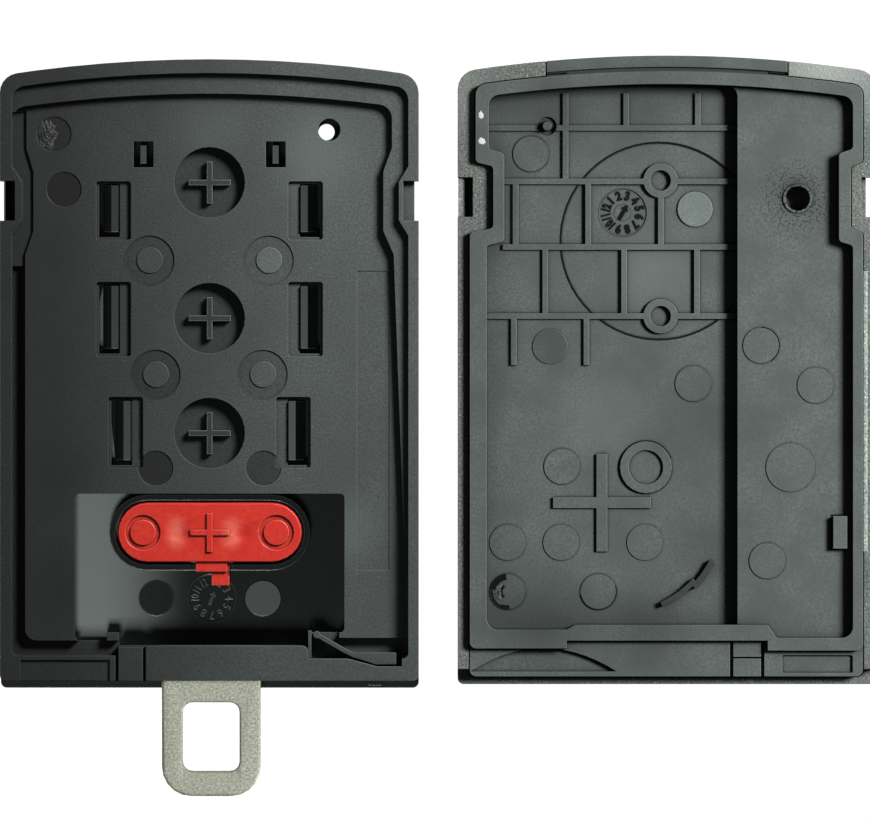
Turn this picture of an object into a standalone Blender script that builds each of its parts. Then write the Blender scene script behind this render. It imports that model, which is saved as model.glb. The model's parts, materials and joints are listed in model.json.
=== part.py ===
# Opened case of a smart remote, its two moulded halves side by side with the inside up.
# The front half, with the buttons and the metal loop, is at -X and the rear half at +X.
# Lengths are metres. Each half is drawn in a frame of its own: x from its centre line,
# y from its foot edge, z from the surface that it lies on. A name that ends in share or
# shares holds fractions: places are (share of case_width, share of case_length).

import math

import bmesh
import bpy
from mathutils import Vector

mm = 0.001

# both halves
case_width = 48.4 * mm
case_length = 72.7 * mm
halves_gap = 4.5 * mm
rear_half_shift = 0.45 * mm
crown_rise = 1.9 * mm
case_corner_radius = 2.3 * mm
foot_corner_radius = 0.7 * mm
face_edge_rounding = 0.9 * mm
fit_gap = 0.15 * mm
closing_gap = 0.05 * mm
overrun = 1.0 * mm
merge_distance = 0.001 * mm
corner_steps = 5
crown_steps = 12
edge_steps = 3
oval_steps = 12
smooth_limit_degrees = 30

# the step inwards of both halves beside the side notches
jog_centre_share = 0.7744
jog_radius = 0.5 * mm
rim_jog_length = 4.4 * mm
rim_jog_run = 1.8 * mm
ledge_jog_length = 6.9 * mm
ledge_jog_run = 2.7 * mm
lip_jog_run = 0.5 * mm
lip_jog_wall = 1.5 * mm
notch_centre_share = 0.775
notch_length = 4.6 * mm
notch_depth = 0.5 * mm
notch_slot_width = 1.1 * mm
notch_slot_depth = 2.2 * mm
notch_shelf_inset = 1.8 * mm
notch_shelf_depth = 0.9 * mm

# front cover, the glossy skin
cover_floor = 1.2 * mm
cover_wall = 0.75 * mm
cover_skirt_height = 2.2 * mm
cover_foot_height = 1.7 * mm
cover_dial_place_share = (0.005, 0.143)
cover_dial_radius = 2.75 * mm
cover_dial_depth = 0.1 * mm
cover_disc_places_shares = ((-0.128, 0.1424), (0.127, 0.1424))
cover_disc_radius = 2.05 * mm
cover_disc_height = 0.12 * mm
led_window_radius = 0.95 * mm
led_window_offset = (-0.34 * mm, -0.22 * mm)
foot_tab_share = 0.395
foot_tab_size = (1.45 * mm, 0.45 * mm)
foot_tab_inset = 0.3 * mm
foot_tab_height = 2.4 * mm

# front tray, the matte inner frame
rim_height = 5.0 * mm
ledge_height = 4.1 * mm
plate_height = 3.1 * mm
plate_thickness = 0.9 * mm
tray_foot_inset = 0.9 * mm
rim_right_insets = (1.2 * mm, 2.3 * mm, 1.2 * mm)
rim_left_insets = (1.4 * mm, 2.6 * mm, 1.4 * mm)
rim_top_inset = 1.6 * mm
ledge_right_insets = (2.9 * mm, 4.1 * mm, 3.1 * mm)
ledge_top_inset = 3.95 * mm
cavity_corner_radius = 1.6 * mm
side_groove_inset = 2.85 * mm
groove_floor = 2.0 * mm
plate_corner_radius = 1.3 * mm
side_groove_top_share = 0.6716
side_shelf_insets = (2.85 * mm, 3.8 * mm, 3.0 * mm)
side_shelf_depth = 0.3 * mm
hollow_inset = 4.4 * mm
hollow_foot_share = 0.105
led_hole_place_share = (0.286, 0.8886)
led_hole_radius = 1.3 * mm
pad_places_shares = ((-0.1426, 0.681), (0.1426, 0.681), (-0.128, 0.4993), (0.128, 0.4993))
pad_radius = 2.88 * mm
pad_ring_radius = 1.5 * mm
pad_depth = 0.12 * mm
tray_disc_places_shares = ((-0.129, 0.350), (0.129, 0.350), (-0.372, 0.8817), (-0.348, 0.7937))
tray_disc_radius = 2.03 * mm
tray_disc_depth = 0.1 * mm
side_strip_inset = 7.1 * mm
side_strip_depth = 0.08 * mm
side_strip_shares = (0.188, 0.664)

# pocket over the red button, which shows the glossy skin
pocket_half_width = 15.6 * mm
pocket_top_share = 0.3095
pocket_foot_share = 0.0886
pocket_corner_foot_share = 0.0757
pocket_corner_width = 3.7 * mm
pocket_corner_radius = 0.5 * mm

# windows over the snap hooks
small_window_size = (2.3 * mm, 3.0 * mm)
small_window_place_share = (0.158, 0.8494)
window_rows_shares = ((0.760, 0.0928, 0.2707), (0.5873, 0.1183, 0.2707), (0.407, 0.1128, 0.2417))
window_width = 4.0 * mm
window_ledge_width = 1.3 * mm
window_ledge_depth = 0.45 * mm
window_radius = 0.3 * mm
hook_clearance = 0.45 * mm
hook_top_width = 0.8 * mm
hook_slope_width = 1.0 * mm
hook_slope_drop = 1.1 * mm
hook_drop = 0.1 * mm
small_hook_width = 0.7 * mm

# foot of the tray: bars, the gap above them and the slot for the insert
bar_corner_radius = 0.7 * mm
left_bar_top_share = 0.0523
left_bar_end_share = -0.2165
block_top_share = 0.066
block_end_share = -0.151
main_bar_top_share = 0.0681
main_bar_end_share = 0.236
right_bar_top_share = 0.0475
bar_line_width = 0.35 * mm
bar_line_depth = 1.2 * mm
ridge_step = 0.25 * mm
ridge_width = 0.5 * mm
ridge_end_margin = 1.0 * mm
latch_bay_top_share = 0.0915
latch_bay_low_share = 0.080
latch_bay_bend_share = 0.310
latch_bay_end_share = 0.460
bay_dip_shares = (0.330, 0.401)
bay_dip_low_share = 0.0351
bay_block_share = 0.0523
bay_wall_width = 0.35 * mm
bay_wall_height = 4.0 * mm

# round buttons
button_names = ("top_button", "middle_button", "lower_button")
button_heights_shares = (0.8047, 0.5887, 0.4058)
button_hole_radius = 4.09 * mm
button_cap_radius = 3.6 * mm
button_cap_recess = 0.3 * mm
button_cap_rounding = 0.25 * mm
button_flange_overlap = 0.5 * mm
button_flange_thickness = 0.5 * mm
button_cross_length = 4.85 * mm
button_cross_width = 0.63 * mm
button_cross_height = 0.85 * mm
circle_steps = 32
small_circle_steps = 24

# red oval button
panic_height_share = 0.2476
panic_length = 21.4 * mm
panic_width = 6.95 * mm
panic_thickness = 1.25 * mm
panic_rounding = 0.3 * mm
panic_cap_length = 17.0 * mm
panic_cap_width = 4.6 * mm
panic_ring_offset = 7.72 * mm
panic_ring_radius = 2.05 * mm
panic_ring_inner_radius = 1.45 * mm
panic_ring_depth = 0.25 * mm
panic_cross_length = 4.5 * mm
panic_cross_width = 0.63 * mm
panic_cross_height = 0.25 * mm
panic_dip_offset = 3.7 * mm
panic_dip_radius = 1.5 * mm
panic_dip_depth = 0.12 * mm
panic_tab_size = (3.6 * mm, 1.05 * mm)
panic_sprue_size = (2.0 * mm, 1.6 * mm)
panic_tab_shift = 0.2 * mm
panic_sprue_shift = 1.25 * mm
panic_tab_thickness = 0.7 * mm
well_wall = 0.65 * mm
well_clearance = 0.25 * mm
well_height = 2.5 * mm
well_mouth_width = 4.9 * mm

# metal loop of the insert
loop_width = 11.45 * mm
loop_offset = 0.2 * mm
loop_drop = 12.5 * mm
loop_root = 4.3 * mm
loop_thickness = 1.8 * mm
loop_corner_radius = 3.45 * mm
loop_edge_rounding = 0.22 * mm
loop_edge_segments = 2
loop_edge_degrees = 60
loop_hole_width = 6.5 * mm
loop_hole_length = 7.9 * mm
loop_hole_foot = 2.95 * mm
loop_hole_radius = 1.1 * mm
loop_slot_bottom = 1.85 * mm
loop_clearance = 0.12 * mm

# release latch, a flat arm with a thumb pad
latch_thickness = 1.75 * mm
latch_lift = 0.2 * mm
latch_root_share = (0.2566, 0.0853)
latch_root_radius = 0.4 * mm
latch_bend_share = (0.322, 0.0603)
latch_arm_width = 0.5 * mm
latch_pad_shares = (0.343, 0.397, 0.446)
latch_pad_level_shares = (0.0382, 0.0498, 0.0569)
latch_pad_radius = 0.15 * mm
latch_overlap_share = 0.04

# rear cover, the outer shell of the back
rear_frame_height = 4.2 * mm
rear_floor = 0.9 * mm
rear_foot_height = 2.6 * mm
rear_foot_wall = 0.8 * mm
side_slot_width = 0.34 * mm
side_slot_depth = 1.2 * mm
side_slot_shares = (0.212, 0.658)

# rear liner, the smooth inner moulding
liner_floor = 1.8 * mm
lip_rise = 0.85 * mm
lip_left_insets = (1.4 * mm, 4.1 * mm, 2.07 * mm)
lip_right_insets = (1.6 * mm, 3.0 * mm, 1.6 * mm)
lip_top_inset = 1.85 * mm
lip_left_foot = 4.2 * mm
well_left_insets = (3.33 * mm, 5.36 * mm, 3.56 * mm)
well_right_insets = (2.74 * mm, 4.36 * mm, 2.74 * mm)
well_top_inset = 3.3 * mm
well_left_foot = 6.36 * mm
well_middle_foot = 6.9 * mm
well_right_foot = 5.4 * mm
foot_bend_left_share = -0.24
foot_bend_right_share = 0.24
foot_bend_run = 1.0 * mm
liner_corner_radius = 1.3 * mm
rib_width = 0.64 * mm
rib_height = 0.35 * mm
rib_row_shares = (0.8857, 0.8005, 0.696, 0.586)
rib_foot_share = 0.508
rib_above_shares = (-0.242, -0.097, 0.0744)
rib_first_shares = (-0.242,)
rib_second_shares = (-0.3615, -0.188, -0.014)
rib_third_shares = (-0.2905, -0.102, 0.0723)
rib_hanging_shares = (-0.3657, -0.192)
rib_left_shares = (-0.43, -0.392, -0.392, -0.432)
cell_centre_share = (-0.018, 0.7056)
cell_radius = 11.4 * mm
cell_step = 0.1 * mm
ring_boss_places_shares = ((-0.0145, 0.802), (-0.0145, 0.586))
ring_boss_radius = 2.0 * mm
ring_boss_bore = 1.2 * mm
round_boss_place_share = (-0.0496, 0.3453)
round_boss_radius = 3.0 * mm
round_boss_bore = 2.0 * mm
rear_dial_place_share = (-0.1043, 0.751)
rear_dial_radius = 2.76 * mm
pin_place_share = (-0.286, 0.8886)
pin_radius = 0.6 * mm
pin_tip_radius = 0.5 * mm
pin_height = 2.9 * mm
pin_moat_radius = 1.1 * mm
pin_moat_depth = 0.35 * mm
boss_bore_depth = 0.25 * mm
liner_disc_places_shares = (
    (-0.3244, 0.8446), (0.0682, 0.7565), (-0.279, 0.5378), (0.064, 0.4787), (-0.25, 0.3466),
    (-0.380, 0.2256), (-0.252, 0.2256), (-0.0517, 0.2256), (-0.1632, 0.1472), (-0.380, 0.1472),
)
liner_disc_radius = 2.03 * mm
liner_disc_step = 0.1 * mm
plus_place_share = (-0.155, 0.2889)
plus_length = 11.3 * mm
plus_width = 1.25 * mm
arc_rib_centre_share = (-0.106, 0.268)
arc_rib_radius = 10.9 * mm
arc_rib_width = 0.6 * mm
arc_rib_degrees = ((-66.3, -41.7), (-45.0, -27.0))
arc_rib_offset = 0.4 * mm
arc_rib_height = 0.8 * mm

# raised panel over the channel of the key's blade
panel_edge_share = 0.1686
panel_rise = 1.8 * mm
panel_wall = 0.7 * mm
panel_hole_place_share = (0.312, 0.773)
panel_hole_radius = 1.4 * mm
panel_rim_radius = 1.68 * mm
panel_rim_height = 0.12 * mm
panel_disc_places_shares = ((0.2252, 0.5392), (0.3554, 0.4759), (0.24, 0.1967))
panel_disc_radius = 2.04 * mm
panel_dial_place_share = (0.2955, 0.3453)
panel_dial_radius = 2.76 * mm
clip_centre_share = (0.4132, 0.242)
clip_size = (1.6 * mm, 3.75 * mm)
clip_height = 0.9 * mm
clip_recess = 0.35 * mm

# strip of the liner that reaches out under the crown, and the liner's foot
strip_half_width = 13.9 * mm
strip_inset = 1.3 * mm
strip_bottom = 2.6 * mm
strip_line_depth = 0.5 * mm
strip_end_length = 2.3 * mm
strip_end_depth = 1.1 * mm
liner_foot_inset = 0.95 * mm
foot_line_width = 0.4 * mm
foot_line_depth = 0.8 * mm
foot_block_shares = (0.150, 0.224)
foot_block_line_share = 0.0413
foot_step_share = 0.275
foot_step_depth = 0.35 * mm
lens_half_width = 8.5 * mm
lens_rise = 2.7 * mm
lens_depth = 0.6 * mm
lens_centre_share = -0.295
lens_foot = 1.5 * mm
lens_steps = 14

front_x = -(halves_gap + case_width) / 2
rear_x = (halves_gap + case_width) / 2
foot_y = (loop_drop - case_length - rear_half_shift) / 2
rear_foot_y = foot_y + rear_half_shift
pivot_z = (rim_height + rear_frame_height + closing_gap) / 2
tray_bottom = cover_floor + fit_gap
liner_bottom = rear_floor + fit_gap
edge_x = case_width / 2
rim_jog = (rim_jog_length, rim_jog_run)
ledge_jog = (ledge_jog_length, ledge_jog_run)
lip_jog = (rim_jog_length + 2 * (rim_jog_run - lip_jog_run) + fit_gap, lip_jog_run)
well_jog = (lip_jog[0] + 2 * lip_jog_wall, lip_jog_run)


def place(share):
    """A place in a half's own frame, from its shares of width and length."""
    return share[0] * case_width, share[1] * case_length


def crown(x, inset):
    """Height of the crowned top edge at x, taken in by an inset."""
    return case_length - crown_rise * (x / edge_x) ** 2 - inset


def rounded(corners, steps=corner_steps):
    """Replaces each corner (x, y, radius) with an arc of that radius."""
    points = []
    for index, (x, y, radius) in enumerate(corners):
        here = Vector((x, y))
        back = Vector(corners[index - 1][:2]) - here
        ahead = Vector(corners[(index + 1) % len(corners)][:2]) - here
        half_turn = back.angle(ahead) / 2
        reach = min(radius / math.tan(half_turn), back.length / 2, ahead.length / 2)
        if reach < merge_distance / 2:
            points.append(here)
            continue
        arc_radius = reach * math.tan(half_turn)
        back.normalize()
        ahead.normalize()
        middle = (back + ahead).normalized()
        centre = here + middle * arc_radius / math.sin(half_turn)
        start = here + back * reach - centre
        end = here + ahead * reach - centre
        sweep = end.angle_signed(start)
        for step in range(steps + 1):
            angle = sweep * step / steps
            turned = Vector((start.x * math.cos(angle) - start.y * math.sin(angle),
                             start.x * math.sin(angle) + start.y * math.cos(angle)))
            points.append(centre + turned)
    return points


def circle(centre, radius, steps=circle_steps):
    """Points round a circle."""
    points = []
    for step in range(steps):
        turn = 2 * math.pi * step / steps
        points.append(Vector((centre[0] + radius * math.cos(turn), centre[1] + radius * math.sin(turn))))
    return points


def stadium(centre, length, width):
    """A long oval: two half circles joined by straight sides."""
    radius = width / 2
    reach = (length - width) / 2
    points = []
    for side in (1, -1):
        for step in range(oval_steps + 1):
            turn = math.pi * (step / oval_steps - 0.5)
            points.append(Vector((centre[0] + side * (reach + radius * math.cos(turn)),
                                  centre[1] + side * radius * math.sin(turn))))
    return points


def rectangle(x_low, x_high, y_low, y_high, radius=0):
    """Corners of a rectangle, rounded when a radius is given."""
    return rounded([(x_low, y_low, radius), (x_high, y_low, radius),
                    (x_high, y_high, radius), (x_low, y_high, radius)])


def bar_between(start, end, width):
    """A straight bar of the given width between two points."""
    start = Vector(start)
    end = Vector(end)
    side = (end - start).orthogonal().normalized() * width / 2
    return [start + side, start - side, end - side, end + side]


def case_outline(inset, foot_inset=None):
    """The outline that both halves share, taken in by an inset."""
    foot = inset if foot_inset is None else foot_inset
    side = edge_x - inset
    foot_radius = max(foot_corner_radius - inset, 2 * merge_distance)
    corner_radius = max(case_corner_radius - inset, foot_corner_radius)
    corners = [(-side, foot, foot_radius), (side, foot, foot_radius),
               (side, crown(side, inset), corner_radius)]
    for step in range(1, crown_steps):
        x = side - 2 * side * step / crown_steps
        corners.append((x, crown(x, inset), 0))
    corners.append((-side, crown(side, inset), corner_radius))
    return rounded(corners)


def jog_levels(jog):
    """Where a side starts to step in, is in, starts to step out and is out again."""
    middle = jog_centre_share * case_length
    length, run = jog
    return [middle - length / 2 - run, middle - length / 2, middle + length / 2, middle + length / 2 + run]


def stepped_outline(left, right, top_inset, foot, left_jog, right_jog, corner_radius):
    """An inner outline whose sides step in at the jog. Left and right hold the insets
    below, beside and above the jog, and foot holds the corners from left to right."""
    corners = list(foot)
    for level, inset in zip(jog_levels(right_jog), (right[0], right[1], right[1], right[2])):
        corners.append((edge_x - inset, level, jog_radius))
    start = edge_x - right[2]
    span = start + edge_x - left[2]
    corners.append((start, crown(start, top_inset), corner_radius))
    for step in range(1, crown_steps):
        x = start - span * step / crown_steps
        corners.append((x, crown(x, top_inset), 0))
    corners.append((start - span, crown(start - span, top_inset), corner_radius))
    for level, inset in zip(reversed(jog_levels(left_jog)), (left[2], left[1], left[1], left[0])):
        corners.append((inset - edge_x, level, jog_radius))
    return rounded(corners)


def mesh_object(name, solid):
    """Turns a bmesh into an object of the scene, welded and with its faces outwards."""
    bmesh.ops.remove_doubles(solid, verts=solid.verts, dist=merge_distance)
    bmesh.ops.recalc_face_normals(solid, faces=solid.faces)
    mesh = bpy.data.meshes.new(name)
    solid.to_mesh(mesh)
    solid.free()
    shape = bpy.data.objects.new(name, mesh)
    bpy.context.collection.objects.link(shape)
    return shape


def loft(name, sections):
    """A closed solid through sections (z, outline) that all have as many points."""
    solid = bmesh.new()
    rings = [[solid.verts.new((point[0], point[1], z)) for point in outline] for z, outline in sections]
    for lower, upper in zip(rings, rings[1:]):
        for index in range(len(lower)):
            solid.faces.new((lower[index - 1], lower[index], upper[index], upper[index - 1]))
    solid.faces.new(list(reversed(rings[0])))
    solid.faces.new(rings[-1])
    return mesh_object(name, solid)


def prism(name, outline, low, high):
    """An outline extruded from z low to z high."""
    return loft(name, [(low, outline), (high, outline)])


def tube(name, outer, inner, low, high):
    """A ring between two outlines that have as many points."""
    solid = bmesh.new()
    loops = [(outer, low), (outer, high), (inner, high), (inner, low)]
    rings = [[solid.verts.new((point[0], point[1], z)) for point in outline] for outline, z in loops]
    for index, ring in enumerate(rings):
        before = rings[index - 1]
        for corner in range(len(ring)):
            solid.faces.new((before[corner - 1], before[corner], ring[corner], ring[corner - 1]))
    return mesh_object(name, solid)


def plank(name, profile, low, high):
    """A profile of (x, z) points extruded along y from low to high."""
    solid = bmesh.new()
    rings = [[solid.verts.new((x, y, z)) for x, z in profile] for y in (low, high)]
    for index in range(len(profile)):
        solid.faces.new((rings[0][index - 1], rings[0][index], rings[1][index], rings[1][index - 1]))
    solid.faces.new(rings[0])
    solid.faces.new(list(reversed(rings[1])))
    return mesh_object(name, solid)


def face_block(name, top, foot_inset=0):
    """A block with the case's outline, its edge towards the outer face rounded off."""
    sections = []
    for step in range(edge_steps + 1):
        angle = math.pi / 2 * (1 - step / edge_steps)
        inset = face_edge_rounding * (1 - math.cos(angle))
        level = face_edge_rounding * (1 - math.sin(angle))
        sections.append((level, case_outline(inset, inset + foot_inset)))
    sections.append((top, case_outline(0, foot_inset)))
    return loft(name, sections)


def combine(node, operation, shapes):
    """Joins shapes to a node, or cuts them out of it, with one exact Boolean."""
    group = bpy.data.collections.new(f"{node.name} {operation.lower()}")
    bpy.context.scene.collection.children.link(group)
    for shape in shapes:
        bpy.context.collection.objects.unlink(shape)
        group.objects.link(shape)
        shape.hide_render = True
        shape.display_type = "WIRE"
    boolean = node.modifiers.new(operation.title(), "BOOLEAN")
    boolean.operation = operation
    boolean.operand_type = "COLLECTION"
    boolean.collection = group
    boolean.solver = "EXACT"
    return shapes


def settle(node, tools, location, material, parent=None):
    """Gives a node its material, place and parent, and takes its tools along."""
    node.data.materials.append(material)
    node.data.shade_smooth()
    node.data.set_sharp_from_angle(angle=math.radians(smooth_limit_degrees))
    for shape in [node, *tools]:
        shape.parent = parent
        shape.location = location


def finish(name, colour, roughness, metallic=0.0):
    """A Principled material."""
    material = bpy.data.materials.new(name)
    material.use_nodes = True
    shader = material.node_tree.nodes["Principled BSDF"]
    shader.inputs["Base Color"].default_value = (*colour, 1.0)
    shader.inputs["Roughness"].default_value = roughness
    shader.inputs["Metallic"].default_value = metallic
    return material


def side_notches(top):
    """Cutters of the two notches in the outer sides."""
    middle = notch_centre_share * case_length
    low = middle - notch_length / 2
    high = middle + notch_length / 2
    shapes = []
    for side in (-1, 1):
        near = side * (edge_x - notch_depth)
        far = side * (edge_x + overrun)
        outline = rectangle(min(near, far), max(near, far), low, high)
        shapes.append(prism("side notch", outline, -overrun, top + overrun))
    return shapes


def long_windows():
    """Each long window as (inner x, outer x, low y, high y, side)."""
    windows = []
    for centre_share, length_share, outer_share in window_rows_shares:
        outer = outer_share * case_width
        middle = centre_share * case_length
        half = length_share * case_length / 2
        for side in (-1, 1):
            windows.append((outer - window_width, outer, middle - half, middle + half, side))
    return windows


def mirrored_rectangle(inner, outer, low, high, side, radius=0):
    """A rectangle at a distance from the centre line, on the side asked for."""
    return rectangle(min(side * inner, side * outer), max(side * inner, side * outer), low, high, radius)


def snap_hooks():
    """The eight hooks that rise from the skin into the tray's windows."""
    top = plate_height - hook_drop
    shapes = []
    for inner, outer, low, high, side in long_windows():
        start = inner + window_ledge_width + fit_gap
        end = start + hook_top_width
        profile = [(side * start, cover_floor - overrun / 2), (side * start, top), (side * end, top),
                   (side * (end + hook_slope_width), top - hook_slope_drop),
                   (side * (end + hook_slope_width), cover_floor - overrun / 2)]
        shapes.append(plank("long hook", profile, low + 2 * hook_clearance, high - hook_clearance))
    x, y = place(small_window_place_share)
    half_length = small_window_size[1] / 2 - hook_clearance
    for side in (-1, 1):
        low = side * x - small_hook_width / 2
        outline = rectangle(low, low + small_hook_width, y - half_length, y + half_length)
        shapes.append(prism("small hook", outline, cover_floor - overrun / 2, top))
    return shapes


def front_cover(material):
    """The glossy skin: floor, skirt, button holes, well wall and hooks."""
    node = face_block("front_cover", cover_skirt_height)
    inside = prism("inside", case_outline(cover_wall), cover_floor, cover_skirt_height + overrun)
    foot = prism("foot cut", rectangle(-edge_x - overrun, edge_x + overrun, -overrun, cover_wall + overrun),
                 cover_foot_height, cover_skirt_height + overrun)
    tools = combine(node, "DIFFERENCE", [inside, foot, *side_notches(cover_skirt_height)])
    centre = (0, panic_height_share * case_length)
    inner = (panic_length + 2 * well_clearance, panic_width + 2 * well_clearance)
    outer = (inner[0] + 2 * well_wall, inner[1] + 2 * well_wall)
    wall = tube("well wall", stadium(centre, *outer), stadium(centre, *inner),
                cover_floor - overrun / 2, well_height)
    discs = [prism("raised disc", circle(place(share), cover_disc_radius, small_circle_steps),
                   cover_floor - overrun / 2, cover_floor + cover_disc_height)
             for share in cover_disc_places_shares]
    tab_x = foot_tab_share * case_width
    tab_outline = rectangle(tab_x - foot_tab_size[0] / 2, tab_x + foot_tab_size[0] / 2, foot_tab_inset,
                            foot_tab_inset + foot_tab_size[1])
    tab = prism("foot tab", tab_outline, cover_floor - overrun / 2, foot_tab_height)
    tools += combine(node, "UNION", [wall, tab, *discs, *snap_hooks()])
    cuts = []
    for share in button_heights_shares:
        hole = circle((0, share * case_length), button_cap_radius + fit_gap)
        cuts.append(prism("button hole", hole, -overrun, cover_floor + overrun))
    oval = stadium(centre, panic_cap_length + 2 * fit_gap, panic_cap_width + 2 * fit_gap)
    cuts.append(prism("oval hole", oval, -overrun, cover_floor + overrun))
    led = Vector(place(led_hole_place_share)) + Vector(led_window_offset)
    cuts.append(prism("led window", circle(led, led_window_radius, small_circle_steps), -overrun,
                      cover_floor + overrun))
    mouth = rectangle(panic_tab_shift - well_mouth_width / 2, panic_tab_shift + well_mouth_width / 2,
                      centre[1] - outer[1], centre[1])
    cuts.append(prism("well mouth", mouth, cover_floor + overrun / 4, well_height + overrun))
    dial = circle(place(cover_dial_place_share), cover_dial_radius, small_circle_steps)
    cuts.append(prism("date dial", dial, cover_floor - cover_dial_depth, cover_floor + overrun))
    tools += combine(node, "DIFFERENCE", cuts)
    settle(node, tools, (front_x, foot_y, 0), material)


def foot_steps(radius):
    """Corners along the top of the bars at the tray's foot, from left to right."""
    left_top = left_bar_top_share * case_length
    main_top = main_bar_top_share * case_length
    right_top = right_bar_top_share * case_length
    turn_left = left_bar_end_share * case_width
    turn_right = main_bar_end_share * case_width
    return [(rim_left_insets[0] - edge_x, left_top, radius), (turn_left, left_top, 0),
            (turn_left, main_top, 0), (turn_right, main_top, radius),
            (turn_right, right_top, 0), (edge_x - rim_right_insets[0], right_top, radius)]


def tray_block():
    """The tray before its cuts: a narrow seat inside the skirt under a full-width frame."""
    seat_inset = cover_wall + fit_gap
    seat = prism("tray seat", case_outline(seat_inset, tray_foot_inset), tray_bottom, ledge_height)
    frame = prism("front_tray", case_outline(0, tray_foot_inset), cover_skirt_height + fit_gap, rim_height)
    return frame, seat


def tray_windows():
    """Cutters of the windows over the hooks."""
    cuts = []
    for inner, outer, low, high, side in long_windows():
        shelf = mirrored_rectangle(inner, outer, low, high, side, window_radius)
        slot = mirrored_rectangle(inner + window_ledge_width, outer - window_radius, low + window_radius,
                                  high - window_radius, side)
        cuts.append(prism("window shelf", shelf, plate_height - window_ledge_depth,
                          plate_height + overrun / 2))
        cuts.append(prism("window slot", slot, tray_bottom - overrun, plate_height))
    x, y = place(small_window_place_share)
    width, length = small_window_size
    for side in (-1, 1):
        outline = rectangle(side * x - width / 2, side * x + width / 2, y - length / 2, y + length / 2)
        cuts.append(prism("small window", outline, tray_bottom - overrun, plate_height + overrun / 2))
    return cuts


def tray_marks():
    """Cutters of the shallow round pads, discs and side strips on the plate."""
    cuts = []
    for share in pad_places_shares:
        outer = circle(place(share), pad_radius, small_circle_steps)
        inner = circle(place(share), pad_ring_radius, small_circle_steps)
        cuts.append(tube("pad ring", outer, inner, plate_height - pad_depth, plate_height + overrun / 2))
    for share in tray_disc_places_shares:
        disc = circle(place(share), tray_disc_radius, small_circle_steps)
        cuts.append(prism("disc", disc, plate_height - tray_disc_depth, plate_height + overrun / 2))
    low, high = (share * case_length for share in side_strip_shares)
    strip = rectangle(edge_x - side_strip_inset, edge_x - ledge_right_insets[0] - jog_radius, low, high)
    cuts.append(prism("side strip", strip, plate_height - side_strip_depth, plate_height + overrun / 2))
    return cuts


def pocket_outline():
    """The opening in the plate round the red button."""
    foot = pocket_foot_share * case_length
    low = pocket_corner_foot_share * case_length
    top = pocket_top_share * case_length
    side = pocket_half_width
    return rounded([(-side, low, pocket_corner_radius), (-side + pocket_corner_width, low, 0),
                    (-side + pocket_corner_width, foot, 0), (side, foot, pocket_corner_radius),
                    (side, top, pocket_corner_radius), (-side, top, pocket_corner_radius)])


def latch_bay():
    """Outline of the recess at the right of the foot, where the latch lies."""
    low = right_bar_top_share * case_length
    start = main_bar_end_share * case_width + bay_wall_width / 2
    end = latch_bay_end_share * case_width
    bend = latch_bay_bend_share * case_width
    wall = edge_x - rim_right_insets[0]
    dip_start, dip_end = (share * case_width for share in bay_dip_shares)
    dip = bay_dip_low_share * case_length
    block = bay_block_share * case_length
    high = latch_bay_top_share * case_length
    shelf = latch_bay_low_share * case_length
    return rounded([(start, low, 0), (dip_start, low, pocket_corner_radius),
                    (dip_end, dip, pocket_corner_radius), (end, dip, 0), (end, block, 0), (wall, block, 0),
                    (wall, shelf, pocket_corner_radius), (bend, shelf, 0), (bend, high, 0),
                    (start, high, 0)])


def foot_cuts():
    """Cutters round the bars: the gaps above them, their lines and the insert's slot."""
    left_top = left_bar_top_share * case_length
    main_top = main_bar_top_share * case_length
    left_end = left_bar_end_share * case_width
    main_end = main_bar_end_share * case_width
    groove_x = rim_left_insets[0] - edge_x
    gap_top = pocket_foot_share * case_length + overrun / 4
    cuts = [prism("main gap", rectangle(left_end, main_end, main_top, gap_top),
                  tray_bottom - overrun, plate_height + overrun / 2),
            prism("latch bay", latch_bay(), groove_floor, rim_height + overrun)]
    line_low = rim_height - bar_line_depth
    for share in (left_bar_end_share, block_end_share):
        x = share * case_width
        line = rectangle(x - bar_line_width, x, -overrun, main_top + overrun)
        cuts.append(prism("bar line", line, line_low, rim_height + overrun))
    ridge = rectangle(groove_x + ridge_end_margin, left_end - ridge_end_margin, -overrun,
                      left_top - ridge_width)
    cuts.append(prism("ridge step", ridge, rim_height - ridge_step, rim_height + overrun))
    block = rectangle(left_end, block_end_share * case_width, block_top_share * case_length,
                      main_top + overrun)
    cuts.append(prism("block step", block, line_low, rim_height + overrun))
    half = loop_width / 2 + loop_clearance
    slot = rectangle(loop_offset - half, loop_offset + half, -overrun, main_top + overrun)
    slot_top = loop_slot_bottom + loop_thickness + 2 * loop_clearance
    cuts.append(prism("insert slot", slot, loop_slot_bottom, slot_top))
    return cuts


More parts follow.
